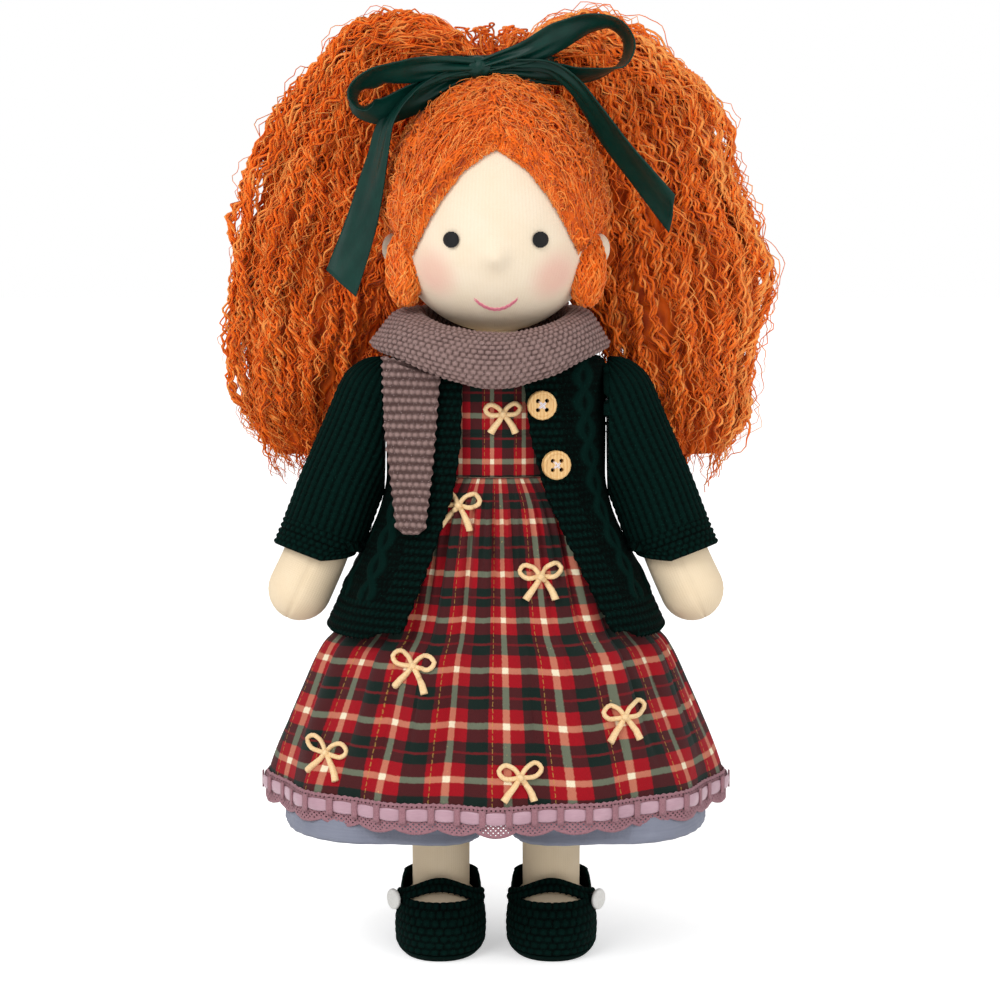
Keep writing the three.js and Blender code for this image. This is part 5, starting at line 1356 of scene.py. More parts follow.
# %% The skirt's cloth
turn, z = crossed(turns_round(384), np.linspace(HEM, WAIST, 110))
skirt_grid = skirt_points(turn, z)
flat = flat_of(skirt_grid, True)
turn_more, z_more = closed_round(turn, z)
plaid_across = (turn_more - PLAID_START) / PLAID_REPEAT
sag = 0.04 * np.sin(turn_more * 3 + 1.2) + 0.03 * np.sin(turn_more * 7)
plaid_down = eased(PLAID_ROWS, z_more)[..., 0] + sag * (1 - smooth((z_more - 90) / 90))
skirt = Shape()
plaid = np.stack([plaid_across, plaid_down], -1)
skirt.cloth(skirt_grid, SKIRT_THICK, np.concatenate([flat, plaid], -1), around=True)
skirt_piece = skirt.build("tartan_skirt", TARTAN, "torso", "tartan_cotton", "skirt")


# %% The bodice
def bodice_points(turn, z):
    """The bodice's cloth, which lies close over the trunk."""
    return on_form(TORSO, turn, z, BODICE_GROW)


def bodice_flat(grid, around):
    """The bodice's places on the flat cloth and in the tartan's repeat."""
    flat = flat_of(grid, around)
    closed = np.concatenate([grid, grid[:1]]) if around else grid
    plaid = np.stack([(closed[..., 0] + 1.5) / 12.4, (216.5 - closed[..., 2]) / 18], -1)
    return np.concatenate([flat, plaid], -1)


bodice = Shape()
below_arms = bodice_points(turns_round(128)[:, None], np.linspace(192.4, ARMHOLE, 18))
bodice.cloth(below_arms, BODICE_THICK, bodice_flat(below_arms, True), around=True)
for start in (-0.5, 0.5):
    panel_turns = np.linspace(-0.72, 0.72, 40) + start * math.pi
    panel = bodice_points(*crossed(panel_turns, np.linspace(ARMHOLE, 236.5, 26)))
    bodice.cloth(panel, BODICE_THICK, bodice_flat(panel, False))
bodice_piece = bodice.build("tartan_bodice", TARTAN, "torso", "tartan_cotton", "bodice")

# %% [markdown]
# Small cream-gold cord bows are sewn on the dress. Each is two open loops and two tails. One could be
# modelled and copied, but each is drawn straight onto the cloth's folds instead, so that none floats.

# %% Cord bows
BOWS = ((2.8, 217.2, "bodice", 0.05), (-14.6, 182.2, "skirt", -0.1), (17.4, 155.2, "skirt", 0.05),
        (-32, 121.9, "skirt", -0.08), (49.8, 102.2, "skirt", 0.06), (-66.2, 86.6, "skirt", -0.12),
        (9.3, 82.4, "skirt", 0))
BOW_LINES = (
    [[0, 0], [-2.5, 3.4], [-6.4, 4.9], [-8.6, 2.6], [-6.6, 0], [-3, -0.4], [0, 0]],
    [[0, 0], [2.5, 3.4], [6.4, 4.9], [8.6, 2.6], [6.6, 0], [3, -0.4], [0, 0]],
    [[0, 0], [-2.2, -3.4], [-4.6, -6.2], [-6.6, -9.0]],
    [[0, 0], [2.4, -3.2], [4.4, -6.4], [5.6, -9.6]],
)


bows = Shape()
for x, z, where, twist in BOWS:
    surface = bodice_points if where == "bodice" else skirt_points
    scale = 0.8 if where == "bodice" else 0.95
    for flat_line, end in zip(BOW_LINES, (0.95, 0.95, 1.5, 1.5)):
        spots = along([[a, 0, b] for a, b in flat_line], 18) * scale
        a = spots[:, 0] * math.cos(twist) - spots[:, 2] * math.sin(twist)
        b = spots[:, 0] * math.sin(twist) + spots[:, 2] * math.cos(twist)
        line = np.array([front_point(surface, x + p, z + q) for p, q in zip(a, b)])
        line[:, 1] -= 0.75
        bows.strands([line], np.linspace(0.95, end, 18), sides=8)
    middle = front_point(surface, x, z) - [0, 1.4, 0]
    knot_line = middle + np.array([[0, 0, -1.4], [0, -0.5, 0], [0, 0, 1.4]])
    bows.strands([along(knot_line, 7)], 1.5 * np.sin(np.linspace(0.3, 2.84, 7)), sides=8)
bows.build("cord_bows", GOLD_CORD, "torso", "thread")

# %% [markdown]
# ## Lace and ribbon at the hem
# A strip of cotton lace is sewn over the hem. A satin ribbon is threaded through it, so it shows in
# puffed windows between short bars of lace. The ribbon could be led in and out of the lace, but its
# hidden half is never seen, so it is one ring that is pinched under each bar.

# %% The lace
LACE_LOW, LACE_HIGH, SCALLOPS = 60.2, 71.9, 30
TRIM_LOW, TRIM_HIGH, WINDOWS = 65.1, 70.1, 46
HEM_SIZE = (90.6, 72.4)


def hem_ring(turn, z, grow):
    """Points round the hem, a little out from the skirt."""
    return round_at(turn, oval(turn, *HEM_SIZE) + main_folds(turn, HEM) + grow, z)


LACE = lace_finish(SCALLOPS, LACE_HIGH - LACE_LOW)
turn, share = crossed(turns_round(720), np.linspace(0, 1, 16))
scallop = 2.2 * (np.abs(np.sin(SCALLOPS * turn / 2)) ** 0.8 - 1)
low = LACE_LOW - 0.3 - scallop * 0.95
z = low + (LACE_HIGH - low) * share + 0.25 * np.sin(turn * SCALLOPS * 6) * (share > 0.97)
lean_in = 0.9 * np.clip((share - 0.6) / 0.4, 0, 1) ** 2
lace_grid = hem_ring(turn, z, 0.75 - lean_in + 0.12 * np.sin(turn * 90))
turn_more, z_more = closed_round(turn, z)
flat = np.stack([turn_more * 82, z_more - LACE_LOW, turn_more / (2 * math.pi), 0 * z_more], -1)
lace = Shape()
lace.cloth(lace_grid, 0.4, flat, around=True)
for k in range(WINDOWS):
    bar_turns = (k + np.linspace(-0.12, 0.12, 4)) * 2 * math.pi / WINDOWS
    bar_turn, bar_z = crossed(bar_turns, np.linspace(TRIM_LOW - 0.9, TRIM_HIGH + 0.7, 6))
    bar = hem_ring(bar_turn, bar_z, 2.15)
    lace.cloth(bar, 0.5, np.zeros((4, 6, 4)) + [0, 3.4, 0.5 / SCALLOPS, 0])
lace_piece = lace.build("hem_lace", LACE, "torso", "lace_cotton", "lace_trim")

# %% The ribbon in the lace
turn, share = crossed(turns_round(WINDOWS * 16), np.linspace(0, 1, 9))
puff = np.abs(np.sin(WINDOWS * turn / 2)) ** 0.6
pinched = 0.5 + (share - 0.5) * (0.6 + 0.4 * puff)
trim_grid = hem_ring(turn, TRIM_LOW + (TRIM_HIGH - TRIM_LOW) * pinched,
                     1.15 + 1.0 * puff * (0.55 + 0.45 * np.sin(share * math.pi)))
trim = Shape()
trim.cloth(trim_grid, 0.35, around=True)
trim_piece = trim.build("hem_ribbon", TRIM, "torso", "trim_satin", "trim_ribbon")

# %% [markdown]
# ## Bloomers
# Two wide cotton legs hang from a waistband under the skirt. Each has a narrow turned hem. They could
# be simulated as cloth, but only their hems are seen, so each is an oval form, a little uneven, with
# its hem rolled.

# %% The bloomers' legs
BLOOMER_LOW, BLOOMER_HIGH = 48.9, 119.5
BLOOMER_SHARES = ((0, 0.96, 0.97), (0.12, 1, 1), (0.42, 0.72, 0.78), (0.72, 0.34, 0.30), (1, 0, 0))
BLOOMER_TOP_HALF = (18.95, 28)
BLOOMER_FLARE = (22, 30)
BLOOMER_GAP, BLOOMER_THICK = 3.6, 0.7
BLOOMER = [[BLOOMER_LOW + rise * (BLOOMER_HIGH - BLOOMER_LOW),
            BLOOMER_TOP_HALF[0] + wide * BLOOMER_FLARE[0], BLOOMER_TOP_HALF[1] + deep * BLOOMER_FLARE[1]]
           for rise, wide, deep in BLOOMER_SHARES]
for name, side in SIDES:
    turn, share = crossed(turns_round(256), np.linspace(0, 1, 60))
    low = 53.6 - 4.3 * smooth(-side * np.cos(turn) * 1.3)
    z = low + (BLOOMER_HIGH - low) * share
    size = eased(BLOOMER, z)
    soft = uneven(xyz(np.cos(turn) * 40, np.sin(turn) * 40, z * 0.35), 24, 8 + side)
    radius = oval(turn, size[..., 0], size[..., 1], 2.3) - 0.9 + 0.8 * soft * (1 - share)
    hem_roll = 0.5 * np.exp(-((share - 0.02) / 0.018) ** 2)
    hem_roll = hem_roll - 0.35 * np.exp(-((share - 0.075) / 0.01) ** 2)
    radius = radius + hem_roll + 0.22 * np.cos(turn * 40) * np.exp(-share * 9)
    leg_cloth = Shape()
    leg_place = side * (BLOOMER_GAP + size[..., 0])
    leg_cloth.cloth(round_at(turn, radius, z, leg_place), BLOOMER_THICK, around=True)
    piece = leg_cloth.build(f"bloomer_leg_{name}", COTTON, "torso", "bloomer_cotton",
                            f"bloomers_leg_{name}")

# %% The waistband
waist_z = np.linspace(120.2, 182.6, 30)
BLOOMER_WAIST = [[119.9, 41.5, 28], [151.4, 40.3, 27.4], [183, 33.4, 24.2]]
turn = turns_round(192)[:, None]
waist_grid = on_form(BLOOMER_WAIST, turn, waist_z, -0.5)
pleats = 0.4 * np.cos(turn * 44) * smooth((waist_z - 150) / 30)
waist_grid[..., 0] += pleats * np.cos(turn)
waist_grid[..., 1] += pleats * np.sin(turn)
band = Shape()
band.cloth(waist_grid, 0.6, around=True)
waist_piece = band.build("bloomer_waistband", COTTON, "torso", "bloomer_cotton", "bloomers_waist")

# %% [markdown]
# ## Cardigan
# Dark green wool, knitted in one piece to the armholes. The opening edges and the hem are bands of
# garter stitch, and each front has cables on a purl ground. It hangs open in an A shape. Each stitch
# could be a loop of yarn, but that takes very many faces, so the cloth is lifted by the stitch heights.

# %% The knitted cloth
CARDIGAN = [[132, 67.9, 55.3], [156, 57.3, 46.9], [180, 46.5, 38.4], [192, 44.3, 31], [207.7, 44.4, 29],
            [225.9, 44.2, 28], [232.3, 44.2, 27.3], [236.6, 44.0, 25.3], [238.8, 42, 24.1], [241, 34, 21.8]]
SQUARE = 2.5
OPENING = {
    "right": [[125.5, -40.1], [136.4, -35.7], [157.1, -27.2], [175.6, -21.0], [194.1, -15.6],
              [210.5, -13.8], [233.4, -13.4], [247.5, -13.4]],
    "left": [[125.5, 49.9], [136.4, 44.6], [157.1, 33.9], [175.6, 25.0], [194.1, 17.4], [210.5, 13.4],
             [233.4, 11.2], [247.5, 11.2]],
}
BAND, CABLE_PLACES, WOOL_THICK = 14.0, (24.5, 44, 63), 2.1
CARDIGAN_LOW, CARDIGAN_HIGH, CARDIGAN_TALL = 132.2, 240.8, 108.6
SEAM_GAP = 0.004


def cardigan_points(turn, z):
    """The cardigan's outer face, squarer than an oval so that its shoulders stand out."""
    size = eased(CARDIGAN, z)
    return round_at(turn, oval(turn, size[..., 0], size[..., 1], SQUARE), z)


def knitted(grid, from_edge, height):
    """Lifts the garter bands, the cables and the purl ground on a front or the back."""
    ground = garter(from_edge, height, 2.4, 2.6) * 0.45
    cables = np.zeros_like(ground)
    for middle in CABLE_PLACES:
        cables = np.maximum(cables, 1.5 * cable(from_edge, height, middle, 3.4, 21))
    body = np.maximum(ground, cables)
    plain = np.maximum(smooth((BAND - from_edge) / 1.5), smooth((BAND - height) / 1.5))
    stitch = body * (1 - plain) + garter(from_edge, height, 2.6, 3.0) * plain
    under_arm = smooth((22 - np.abs(grid[..., 1])) / 8) * smooth((height - 20) / 8)
    lift = (stitch - 0.9) * 0.85 * (1 - under_arm) - 0.7 * under_arm
    return grid + outward(grid, False) * lift[..., None], stitch


def angle_at(x, z):
    """The turn at which the cardigan's front lies straight ahead of x."""
    turn = np.linspace(-math.pi, 0, 721)
    size = eased(CARDIGAN, np.array([z]))[0]
    reach = oval(turn, size[0], size[1], SQUARE) * np.cos(turn)
    return np.interp(x, reach, turn)


# %% The two fronts
columns, rows = 120, 116
heights = np.linspace(CARDIGAN_LOW, CARDIGAN_HIGH, rows)
for name, side in SIDES:
    edge_x = eased(OPENING[name], heights)[:, 0]
    start = np.array([angle_at(x, h) for x, h in zip(edge_x, heights)])
    share = np.linspace(0, 1, columns)[:, None]
    if side > 0:
        turn = start * (1 - share) - SEAM_GAP * share
    else:
        turn = (SEAM_GAP - math.pi) * (1 - share) + start * share
    lift = 3.2 * smooth(1 - (share if side > 0 else 1 - share) * 3)
    z = heights[None] + lift * (1 - (heights[None] - CARDIGAN_LOW) / CARDIGAN_TALL)
    grid = cardigan_points(turn, z)
    flat = flat_of(grid, False)
    step = np.linalg.norm(np.diff(grid, axis=0), axis=2)
    reach = np.concatenate([np.zeros((1, rows)), np.cumsum(step, 0)])
    from_edge = reach if side > 0 else reach[-1:] - reach
    grid, stitch = knitted(grid, from_edge, z - CARDIGAN_LOW)
    front = Shape()
    front.cloth(grid, WOOL_THICK, flat, stitch)
    piece = front.build(f"cardigan_{name}_front", KNIT, "torso", "cardigan_yarn", f"cardigan_front_{name}")

# %% The back
turn, z = crossed(np.linspace(SEAM_GAP, math.pi - SEAM_GAP, 190), heights)
grid = cardigan_points(turn, z)
flat = flat_of(grid, False)
grid, stitch = knitted(grid, flat[..., 0] % 51 + 15, z - CARDIGAN_LOW)
panel = Shape()
panel.cloth(grid, WOOL_THICK, flat, stitch)
panel_piece = panel.build("cardigan_back_panel", KNIT, "torso", "cardigan_yarn", "cardigan_back")

# %% [markdown]
# The sleeves are ribbed lengthwise and end in a moss stitch cuff. They move with the arms. They could
# be part of the cardigan's mesh, but then they couldn't turn, so each is rings round its arm's line.

# %% The sleeves
SLEEVE = np.array([[46.6, 0, 221, 17.4], [52.3, -1.1, 207.1, 17.5], [61.5, -3.6, 187.1, 17.1],
                   [67.4, -5.9, 171.4, 17.2], [72.4, -7.7, 158.4, 17.6]])
CUFF_EDGE, CUFF_HIGH = 159.3, 12.5
SLEEVE_RADIUS, SLEEVE_RIBS, SLEEVE_START = 17.3, 32, 44.5
for name, side in SIDES:
    line, radii = domed(SLEEVE * [side, 1, 1, 1], 110, False)
    grid = limb_rings(line[::-1], radii[::-1] - 0.1, 190)
    reach = way_along(line[::-1])
    push = smooth((18 - reach) / 18)
    grid[..., 2] = np.maximum(grid[..., 2], CUFF_EDGE + reach[None] * 0.9 * push)
    across = turns_round(190)[:, None] * SLEEVE_RADIUS
    u, v = np.broadcast_arrays(across, reach[None])
    cuff = smooth((CUFF_HIGH - v) / 1.2)
    rib_width = 2 * math.pi * SLEEVE_RADIUS / SLEEVE_RIBS
    stitch = ribs(u, v, rib_width, 3.2) * (1 - cuff) + moss(u, v, 3.0, 2.3) * cuff
    fade = smooth((radii[::-1] - 4) / 8)[None]
    grid = grid + outward(grid, True) * ((stitch - 0.9) * 0.95 * fade)[..., None]
    grid[..., 0] = side * np.maximum(side * grid[..., 0], SLEEVE_START)
    sleeve = Shape()
    sleeve.cloth(grid, 2.2, tones=stitch, around=True)
    piece = sleeve.build(f"ribbed_sleeve_{name}", KNIT, f"arm_{name}", "cardigan_yarn", f"sleeve_{name}")

# %% [markdown]
# Two turned wooden buttons with a raised rim and four holes are sewn on the left front with a cross
# of pale thread. The disc could be modelled again, but the CAD model's own is exact, so it only gets
# its finish here, and the rim, the groove and the thread are laid on it.

# %% Wooden buttons
BUTTONS = {"upper": (18.06, 221.0, 0.17), "lower": (23.77, 197.7, 0.283)}
BUTTON_FRONT = {"upper": -29.5, "lower": -30.0}
UP = np.array([0, 0, 1])
RIM_RADIUS, RIM_THICK, RIM_PROUD = 4.95, 0.72, 0.75
GROOVE_RADIUS, GROOVE_THICK, THREAD_THICK = 4.05, 0.17, 0.27


def refinish(node, finish):
    """Gives a CAD node that stays as it is one finish."""
    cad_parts[node].data.materials.clear()
    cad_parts[node].data.materials.append(finish)


for name, (x, z, lean) in BUTTONS.items():
    refinish(f"button_{name}", WOOD)
    facing = np.array([lean, -math.sqrt(1 - lean * lean), 0])
    flat_way = np.array([-facing[1], facing[0], 0])
    middle = np.array([x, BUTTON_FRONT[name], z])
    rim_turn, rim_ring = crossed(turns_round(72), turns_round(12))
    reach = RIM_RADIUS + RIM_THICK * np.cos(rim_ring)
    rim_grid = (middle + flat_way * (reach * np.cos(rim_turn))[..., None]
                + UP * (reach * np.sin(rim_turn))[..., None]
                + facing * (RIM_PROUD * np.sin(rim_ring))[..., None])
    rim = Shape()
    flat = np.zeros((73, 13, 2)) + np.linspace(0, 31, 73)[:, None, None]
    rim.grid(rim_grid[:, ::-1], flat, around=True, ring=True)
    rim.build(f"button_rim_{name}", WOOD, "torso", "button_wood")
    # painted shade: the groove is a thin ring laid just over the face in a darker colour
    groove = Shape()
    round_way = np.linspace(0, 2 * math.pi, 65)
    ring_line = (middle + flat_way * (GROOVE_RADIUS * np.cos(round_way))[:, None] + facing * 0.02
                 + UP * (GROOVE_RADIUS * np.sin(round_way))[:, None])
    groove.strands([ring_line], GROOVE_THICK, sides=5)
    groove.build(f"button_groove_{name}", GROOVE_SHADE, "torso", "button_wood")
    cross = Shape()
    for turned in (math.radians(38), math.radians(128)):
        way = flat_way * math.cos(turned) + UP * math.sin(turned)
        for shift in (-0.25, 0.25):
            beside = np.cross(way, facing) * shift
            rows = [middle + way * a + beside + facing * b for a, b in
                    ((-1.75, -1.2), (-1.5, 0.1), (0, 0.35 + shift), (1.5, 0.1), (1.75, -1.2))]
            cross.strands([along(rows, 16)], THREAD_THICK, sides=6, facing=(0, 0, 1))
    cross.build(f"button_cross_{name}", PALE_THREAD, "torso", "thread", f"button_thread_{name}")
for node, finish in (("nose_bead", WOOD), ("shoulder_thread", PALE_THREAD), ("hip_thread", PALE_THREAD)):
    refinish(node, finish)

# %% [markdown]
# ## Scarf
# A thick moss stitch scarf goes once round the neck, deeper in front. One end hangs from under the
# wrap, in garter ridges, narrowing to a rounded tip. A curve with one profile could make the wrap, but
# it is taller in front than at the sides, so its outline passes from one drawn section to the other.

# %% The wrap
SIDE_SECTION = [[0.02, 0.2], [0.02, 0.55], [0.03, 0.82], [0.14, 0.97], [0.34, 1], [0.54, 0.9],
                [0.74, 0.62], [0.9, 0.3], [0.985, 0.12], [0.93, 0.01], [0.66, 0], [0.3, 0.02],
                [0.08, 0.08], [0.02, 0.2]]
FRONT_SECTION = [[0.02, 0.18], [0.02, 0.55], [0.04, 0.82], [0.18, 0.96], [0.4, 0.97], [0.64, 0.88],
                 [0.84, 0.66], [0.96, 0.4], [0.96, 0.18], [0.86, 0.04], [0.6, 0], [0.3, 0.02],
                 [0.08, 0.07], [0.02, 0.18]]
WRAP_Z, NECK_HOLE = 246, (27.5, 25.5)
WRAP_RADIUS, WRAP_STITCHES = 38, 92


def section_line(shares):
    """A closed outline of the wrap's section, from shares of its width and height."""
    return along([[a, 0, b] for a, b in shares], 97)[:-1][:, [0, 2]]


turn = turns_round(460)[:, None]
ahead = np.clip(-np.sin(turn), 0, 1)
low = WRAP_Z - (4.2 + 13.8 * ahead ** 2.2)
high = WRAP_Z + 12 - 8 * ahead ** 1.5
inner = oval(turn, *NECK_HOLE)
wide = np.where(np.cos(turn) > 0, 45.5, 50.5)
outer = np.where(np.sin(turn) < 0, oval(turn, wide, 43), oval(turn, wide, 29))
front_share = smooth(ahead * 1.25)[..., None]
section = (section_line(SIDE_SECTION)[None] * (1 - front_share)
           + section_line(FRONT_SECTION)[None] * front_share)
radius = inner + (outer - inner) * section[..., 0]
wrap_grid = round_at(turn, radius, low + (high - low) * section[..., 1])
wrap_grid = wrap_grid[:, ::-1]
flat = flat_of(wrap_grid, True)
flat = np.concatenate([flat, flat[:, :1] + [0, 60]], 1)
v = np.cumsum(np.linalg.norm(np.diff(wrap_grid, axis=1, prepend=wrap_grid[:, :1]), axis=2), 1)
u = turn * WRAP_RADIUS + 0 * v
stitch_wide = 2 * math.pi * WRAP_RADIUS / WRAP_STITCHES
stitch = moss(u + 0.35 * uneven(wrap_grid, 9, 4), v, stitch_wide, 2.1)
wrap_out = unit(np.cross(np.roll(wrap_grid, -1, 0) - np.roll(wrap_grid, 1, 0),
                         np.roll(wrap_grid, -1, 1) - np.roll(wrap_grid, 1, 1)))
wrap_grid = wrap_grid + wrap_out * ((stitch - 0.8) * 0.85 + 0.5 * uneven(wrap_grid, 16, 9))[..., None]
wrap = Shape()
wrap.grid(wrap_grid, flat, stitch, around=True, ring=True)
wrap_piece = wrap.build("scarf_round_neck", SCARF, "torso", "scarf_yarn", "scarf_wrap")

# %% The hanging end
TAIL = np.array([[-34.1, -25.8, 240, 13.3], [-33.8, -25.9, 228.7, 12.3], [-33.6, -26.2, 217.3, 11.2],
                 [-33.4, -26.9, 206, 10], [-33.2, -28.3, 194.7, 8.7], [-33.1, -33.8, 183.3, 7.3],
                 [-33, -39.1, 172, 6]])
TAIL_EDGE, TAIL_LONG = -43.8, 72
line = along(TAIL[:, :3], 170)
half = eased(np.column_stack([np.linspace(0, 1, 7), TAIL[:, 3]]), np.linspace(0, 1, 170))[:, 0]
half = half + 0.4 * np.sin(np.linspace(0, 100, 170)) - 0.3
half = half * np.sqrt(np.clip(1 - np.clip(np.linspace(0, 1, 170) - 0.965, 0, 1) * 18, 0.3, 1))
across = unit(np.array([1, -0.22, 0]))
span = np.linspace(-1, 1, 64)
tail_grid = line[None, ::-1] + across * (span[:, None, None] * half[None, ::-1, None])
slant = 240 - (tail_grid[..., 0] + 45) * 0.33 - 0.8
tail_grid[..., 2] = np.minimum(tail_grid[..., 2], slant)
tail_grid[..., 0] = np.maximum(tail_grid[..., 0], TAIL_EDGE)
u, v = np.broadcast_arrays(span[:, None] * half[::-1], np.linspace(0, TAIL_LONG, 170)[None])
stitch = garter(u + 0.3 * uneven(tail_grid, 8, 3), v + 0.3 * uneven(tail_grid, 12, 6), 2.5, 3.4)
rounded = 1.55 * np.sqrt(np.clip(1 - np.abs(span) ** 4, 0.05, 1))[:, None]
tail_out = outward(tail_grid, False)
front_face = tail_grid + tail_out * (rounded + (stitch - 0.85) * 1.15)[..., None]
back_face = tail_grid - tail_out * (rounded - 0.25)[..., None]
tail = Shape()
tail.solid(np.concatenate([front_face, back_face[::-1]], 0), np.concatenate([stitch, stitch[::-1]], 0))
tail_piece = tail.build("scarf_end", SCARF, "scarf_tail", "scarf_yarn", "scarf_tail")

# %% [markdown]
# ## Shoes
# Crocheted in rounds from the sole up, open over the instep, with a strap that buttons on the outer
# side with a flat white button. The yarn could be led round stitch by stitch, but only the bumps are
# seen, so sole, upper and strap are forms that are lifted by the moss stitch heights.


# %% Soles, uppers, straps and buttons
UPPER_LOW, UPPER_THICK = 2.95, 1.7
SHOE_RADIUS, SHOE_STITCHES = 22.5, 46
STRAP_LOW, STRAP_WIDE, STRAP_ARCH = 19.1, 4.4, 6.0
SOLE_THICK = 2.6


def shoe_rim(y):
    """The height of the shoe's rim, low over the instep and high at the heel."""
    return 19.4 + 9.2 * smooth((y + 4.6) / 2.2) + 2.3 * smooth((-8 - y) / 12)


for name, side in SIDES:
    sole = Shape()
    sole_z = np.array([0.0, 0.5, 1.3, 2.1, SOLE_THICK])
    sole_grid = round_foot(side, sole_z, 128, -0.2)
    sole_u = turns_round(128)[:, None] * 22
    bulge = 0.35 * np.sin(math.pi * sole_z / SOLE_THICK)[None]
    bulge = bulge * (0.6 + 0.4 * np.cos(sole_u * 2 * math.pi / 2.9))
    sole_grid = sole_grid + outward(sole_grid, True) * [1, 1, 0] * bulge[..., None]
    sole.solid(sole_grid)
    sole_piece = sole.build(f"crochet_sole_{name}", CROCHET, f"leg_{name}", "shoe_yarn",
                            f"shoe_sole_{name}")

    share = np.linspace(0, 1, 44)
    turn = turns_round(200)
    base = round_foot(side, np.full(1, 12.0), 200)[:, 0]
    rim = shoe_rim(base[:, 1])
    heights = UPPER_LOW + (rim[:, None] - UPPER_LOW) * share[None]
    size = eased(SHOE, heights)
    radius = oval(turn[:, None], size[..., 0], size[..., 1], SHOE_SQUARE)
    grid = round_at(turn[:, None], radius, heights, side * LEG_X, size[..., 2])
    u = turn[:, None] * SHOE_RADIUS + 0 * heights
    stitch = moss(u, heights - 2.9, 2 * math.pi * SHOE_RADIUS / SHOE_STITCHES, 2.75)
    grid = grid + outward(grid, True) * ((stitch - 0.85) * 0.7)[..., None]
    upper = Shape()
    upper.cloth(grid, UPPER_THICK, tones=stitch, around=True)
    upper_piece = upper.build(f"crochet_shoe_{name}", CROCHET, f"leg_{name}", "shoe_yarn", f"shoe_{name}")

    strap_turn = np.linspace(math.pi, 2 * math.pi, 110)
    strap_share = np.linspace(0, 1, 15)
    arch = STRAP_ARCH * np.abs(np.sin(strap_turn)) ** 2.6
    strap_z = STRAP_LOW + STRAP_WIDE * strap_share[None] + arch[:, None]
    size = eased(SHOE, strap_z)
    radius = oval(strap_turn[:, None], size[..., 0], size[..., 1], SHOE_SQUARE)
    radius = radius + 1.5 * (1 - np.sin(strap_turn) ** 2)[:, None]
    grid = round_at(strap_turn[:, None], radius, strap_z, side * LEG_X, size[..., 2])
    keep = grid[:, 7, 1] < -4.5
    grid, strap_z = grid[keep], strap_z[keep]
    u = strap_turn[keep][:, None] * 19 + 0 * strap_z
    stitch = moss(u, 4.7 * strap_share[None] + 0 * u, 2.7, 2.4)
    roll = 0.5 * (1 - np.sin(math.pi * strap_share)) ** 2
    grid = grid + outward(grid, False) * ((stitch - 0.85) * 0.6 - roll[None])[..., None]
    strap = Shape()
    strap.cloth(grid, UPPER_THICK, tones=stitch)
    strap_piece = strap.build(f"crochet_strap_{name}", CROCHET, f"strap_{name}", "shoe_yarn",
                              f"shoe_strap_{name}")

    profile = np.array([[0.05, 1.3], [1.7, 1.3], [2.8, 1.6], [3.6, 1.9], [4.1, 1.7], [4.3, 1.0],
                        [4.0, 0.5]])
    disc_turn = turns_round(48)[:, None]
    facing = unit(np.array([side * 0.8, -0.6, 0]))
    flat_way = np.array([-facing[1], facing[0], 0])
    centre = np.array([side * (LEG_X + 17.9), -9.6, 20.2])
    disc = (centre + facing * profile[None, :, 1:]
            + flat_way * (profile[:, 0] * np.cos(disc_turn))[..., None]
            + UP * (profile[:, 0] * np.sin(disc_turn))[..., None])
    disc = disc[:, ::-1]
    button = Shape()
    button.solid(disc)
    button.build(f"white_button_{name}", WHITE_BUTTON, f"strap_{name}", "button_white",
                 f"shoe_button_{name}")

# %% [markdown]
# ## Light and floor
# A pale floor that runs out of sight, one wide soft light high on the left and a weak one on the
# right, and even light from all round, as in a white studio. One picture of a studio could light it
# all, but lamps are easier to move until the shadows fall as they do in the photograph.

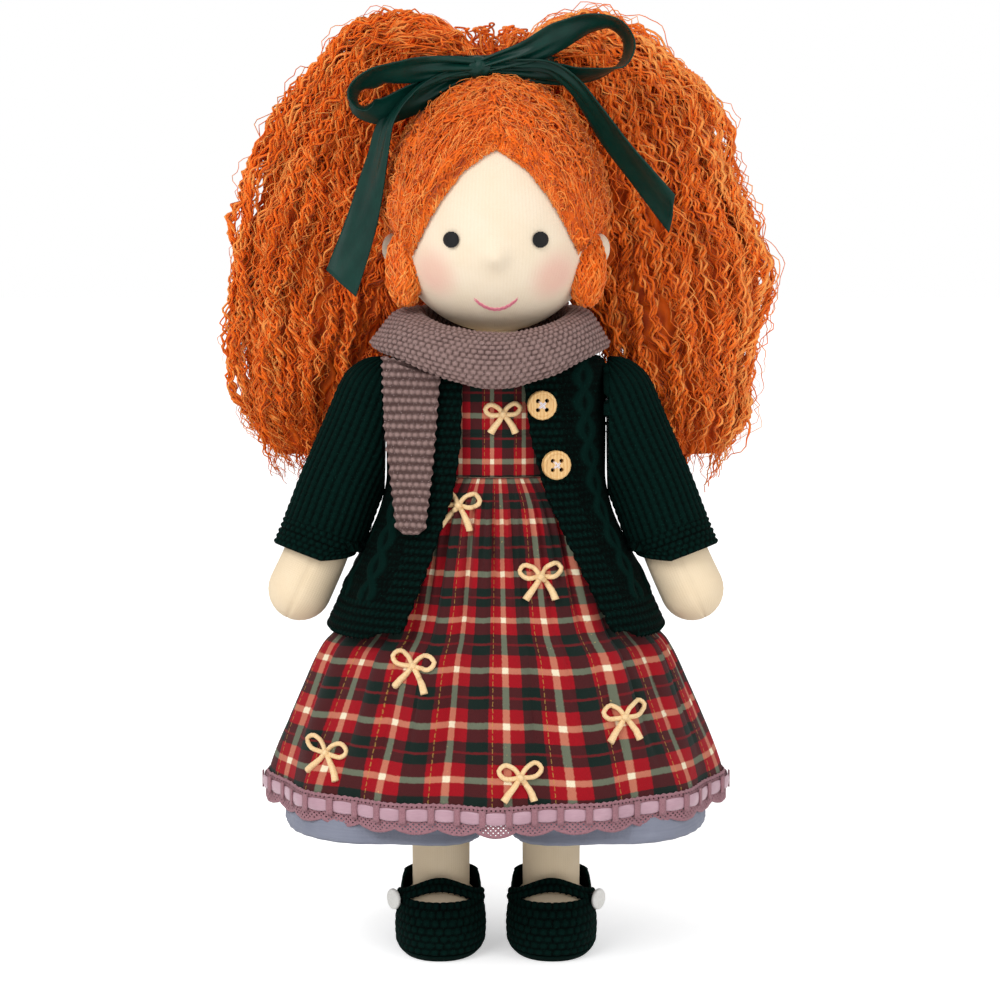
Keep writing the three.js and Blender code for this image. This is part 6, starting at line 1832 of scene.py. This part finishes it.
# %% The floor
floor_mesh = bpy.data.meshes.new("floor")
floor_mesh.from_pydata([(-4, -4, 0), (4, -4, 0), (4, 6, 0), (-4, 6, 0)], [], [(0, 1, 2, 3)])
floor = bpy.data.objects.new("floor", floor_mesh)
bpy.context.scene.collection.objects.link(floor)
floor_finish = Finish("studio_floor", Roughness=0.9)
floor_finish.colour(paint("FFFFFF"))


# %% Seen light and fallen light
def plainly_seen(tree):
    """1 for what is seen, straight or in a shiny surface, and 0 for light that falls on things."""
    path = tree.nodes.new("ShaderNodeLightPath")
    total = path.outputs["Is Camera Ray"]
    for ray in ("Is Glossy Ray", "Is Transmission Ray"):
        both = tree.nodes.new("ShaderNodeMath")
        tree.links.new(total, both.inputs[0])
        tree.links.new(path.outputs[ray], both.inputs[1])
        total = both.outputs[0]
    return total


seen = Number(floor_finish, plainly_seen(floor_finish.tree))
floor_finish.put(floor_finish.surface.inputs["Emission Color"],
                 floor_finish.mix(seen, [0, 0, 0, 1], [0.45, 0.45, 0.45, 1]))
floor_finish.surface.inputs["Emission Strength"].default_value = 1
floor_mesh.materials.append(floor_finish.material)

# %% Even light from all round
world = bpy.data.worlds.new("studio")
bpy.context.scene.world = world
world.use_nodes = True
sky = world.node_tree
background = sky.nodes["Background"]
background.inputs["Color"].default_value = (1, 1, 1, 1)
strength = sky.nodes.new("ShaderNodeMapRange")
sky.links.new(plainly_seen(sky), strength.inputs["Value"])
strength.inputs["To Min"].default_value = 0.66
strength.inputs["To Max"].default_value = 1.0
sky.links.new(strength.outputs[0], background.inputs["Strength"])


# %% Two lamps
def soft_light(name, place, aim, size, power):
    """A wide square lamp that faces its aim."""
    lamp = bpy.data.lights.new(name, "AREA")
    lamp.size, lamp.energy = size, power
    holder = bpy.data.objects.new(name, lamp)
    bpy.context.scene.collection.objects.link(holder)
    holder.location = place
    way = np.array(place) - np.array(aim)
    holder.rotation_euler = (math.atan2(math.hypot(way[0], way[1]), way[2]), 0, math.atan2(way[0], -way[1]))
    print(f"{name}: {power} W")


LAMP_AIM, LAMP_SIZE = (0, 0, 0.18), 0.9
soft_light("window", (-0.9, -1.2, 1.3), LAMP_AIM, LAMP_SIZE, 16)
soft_light("reflector", (1.2, -1.0, 0.7), LAMP_AIM, LAMP_SIZE, 5)
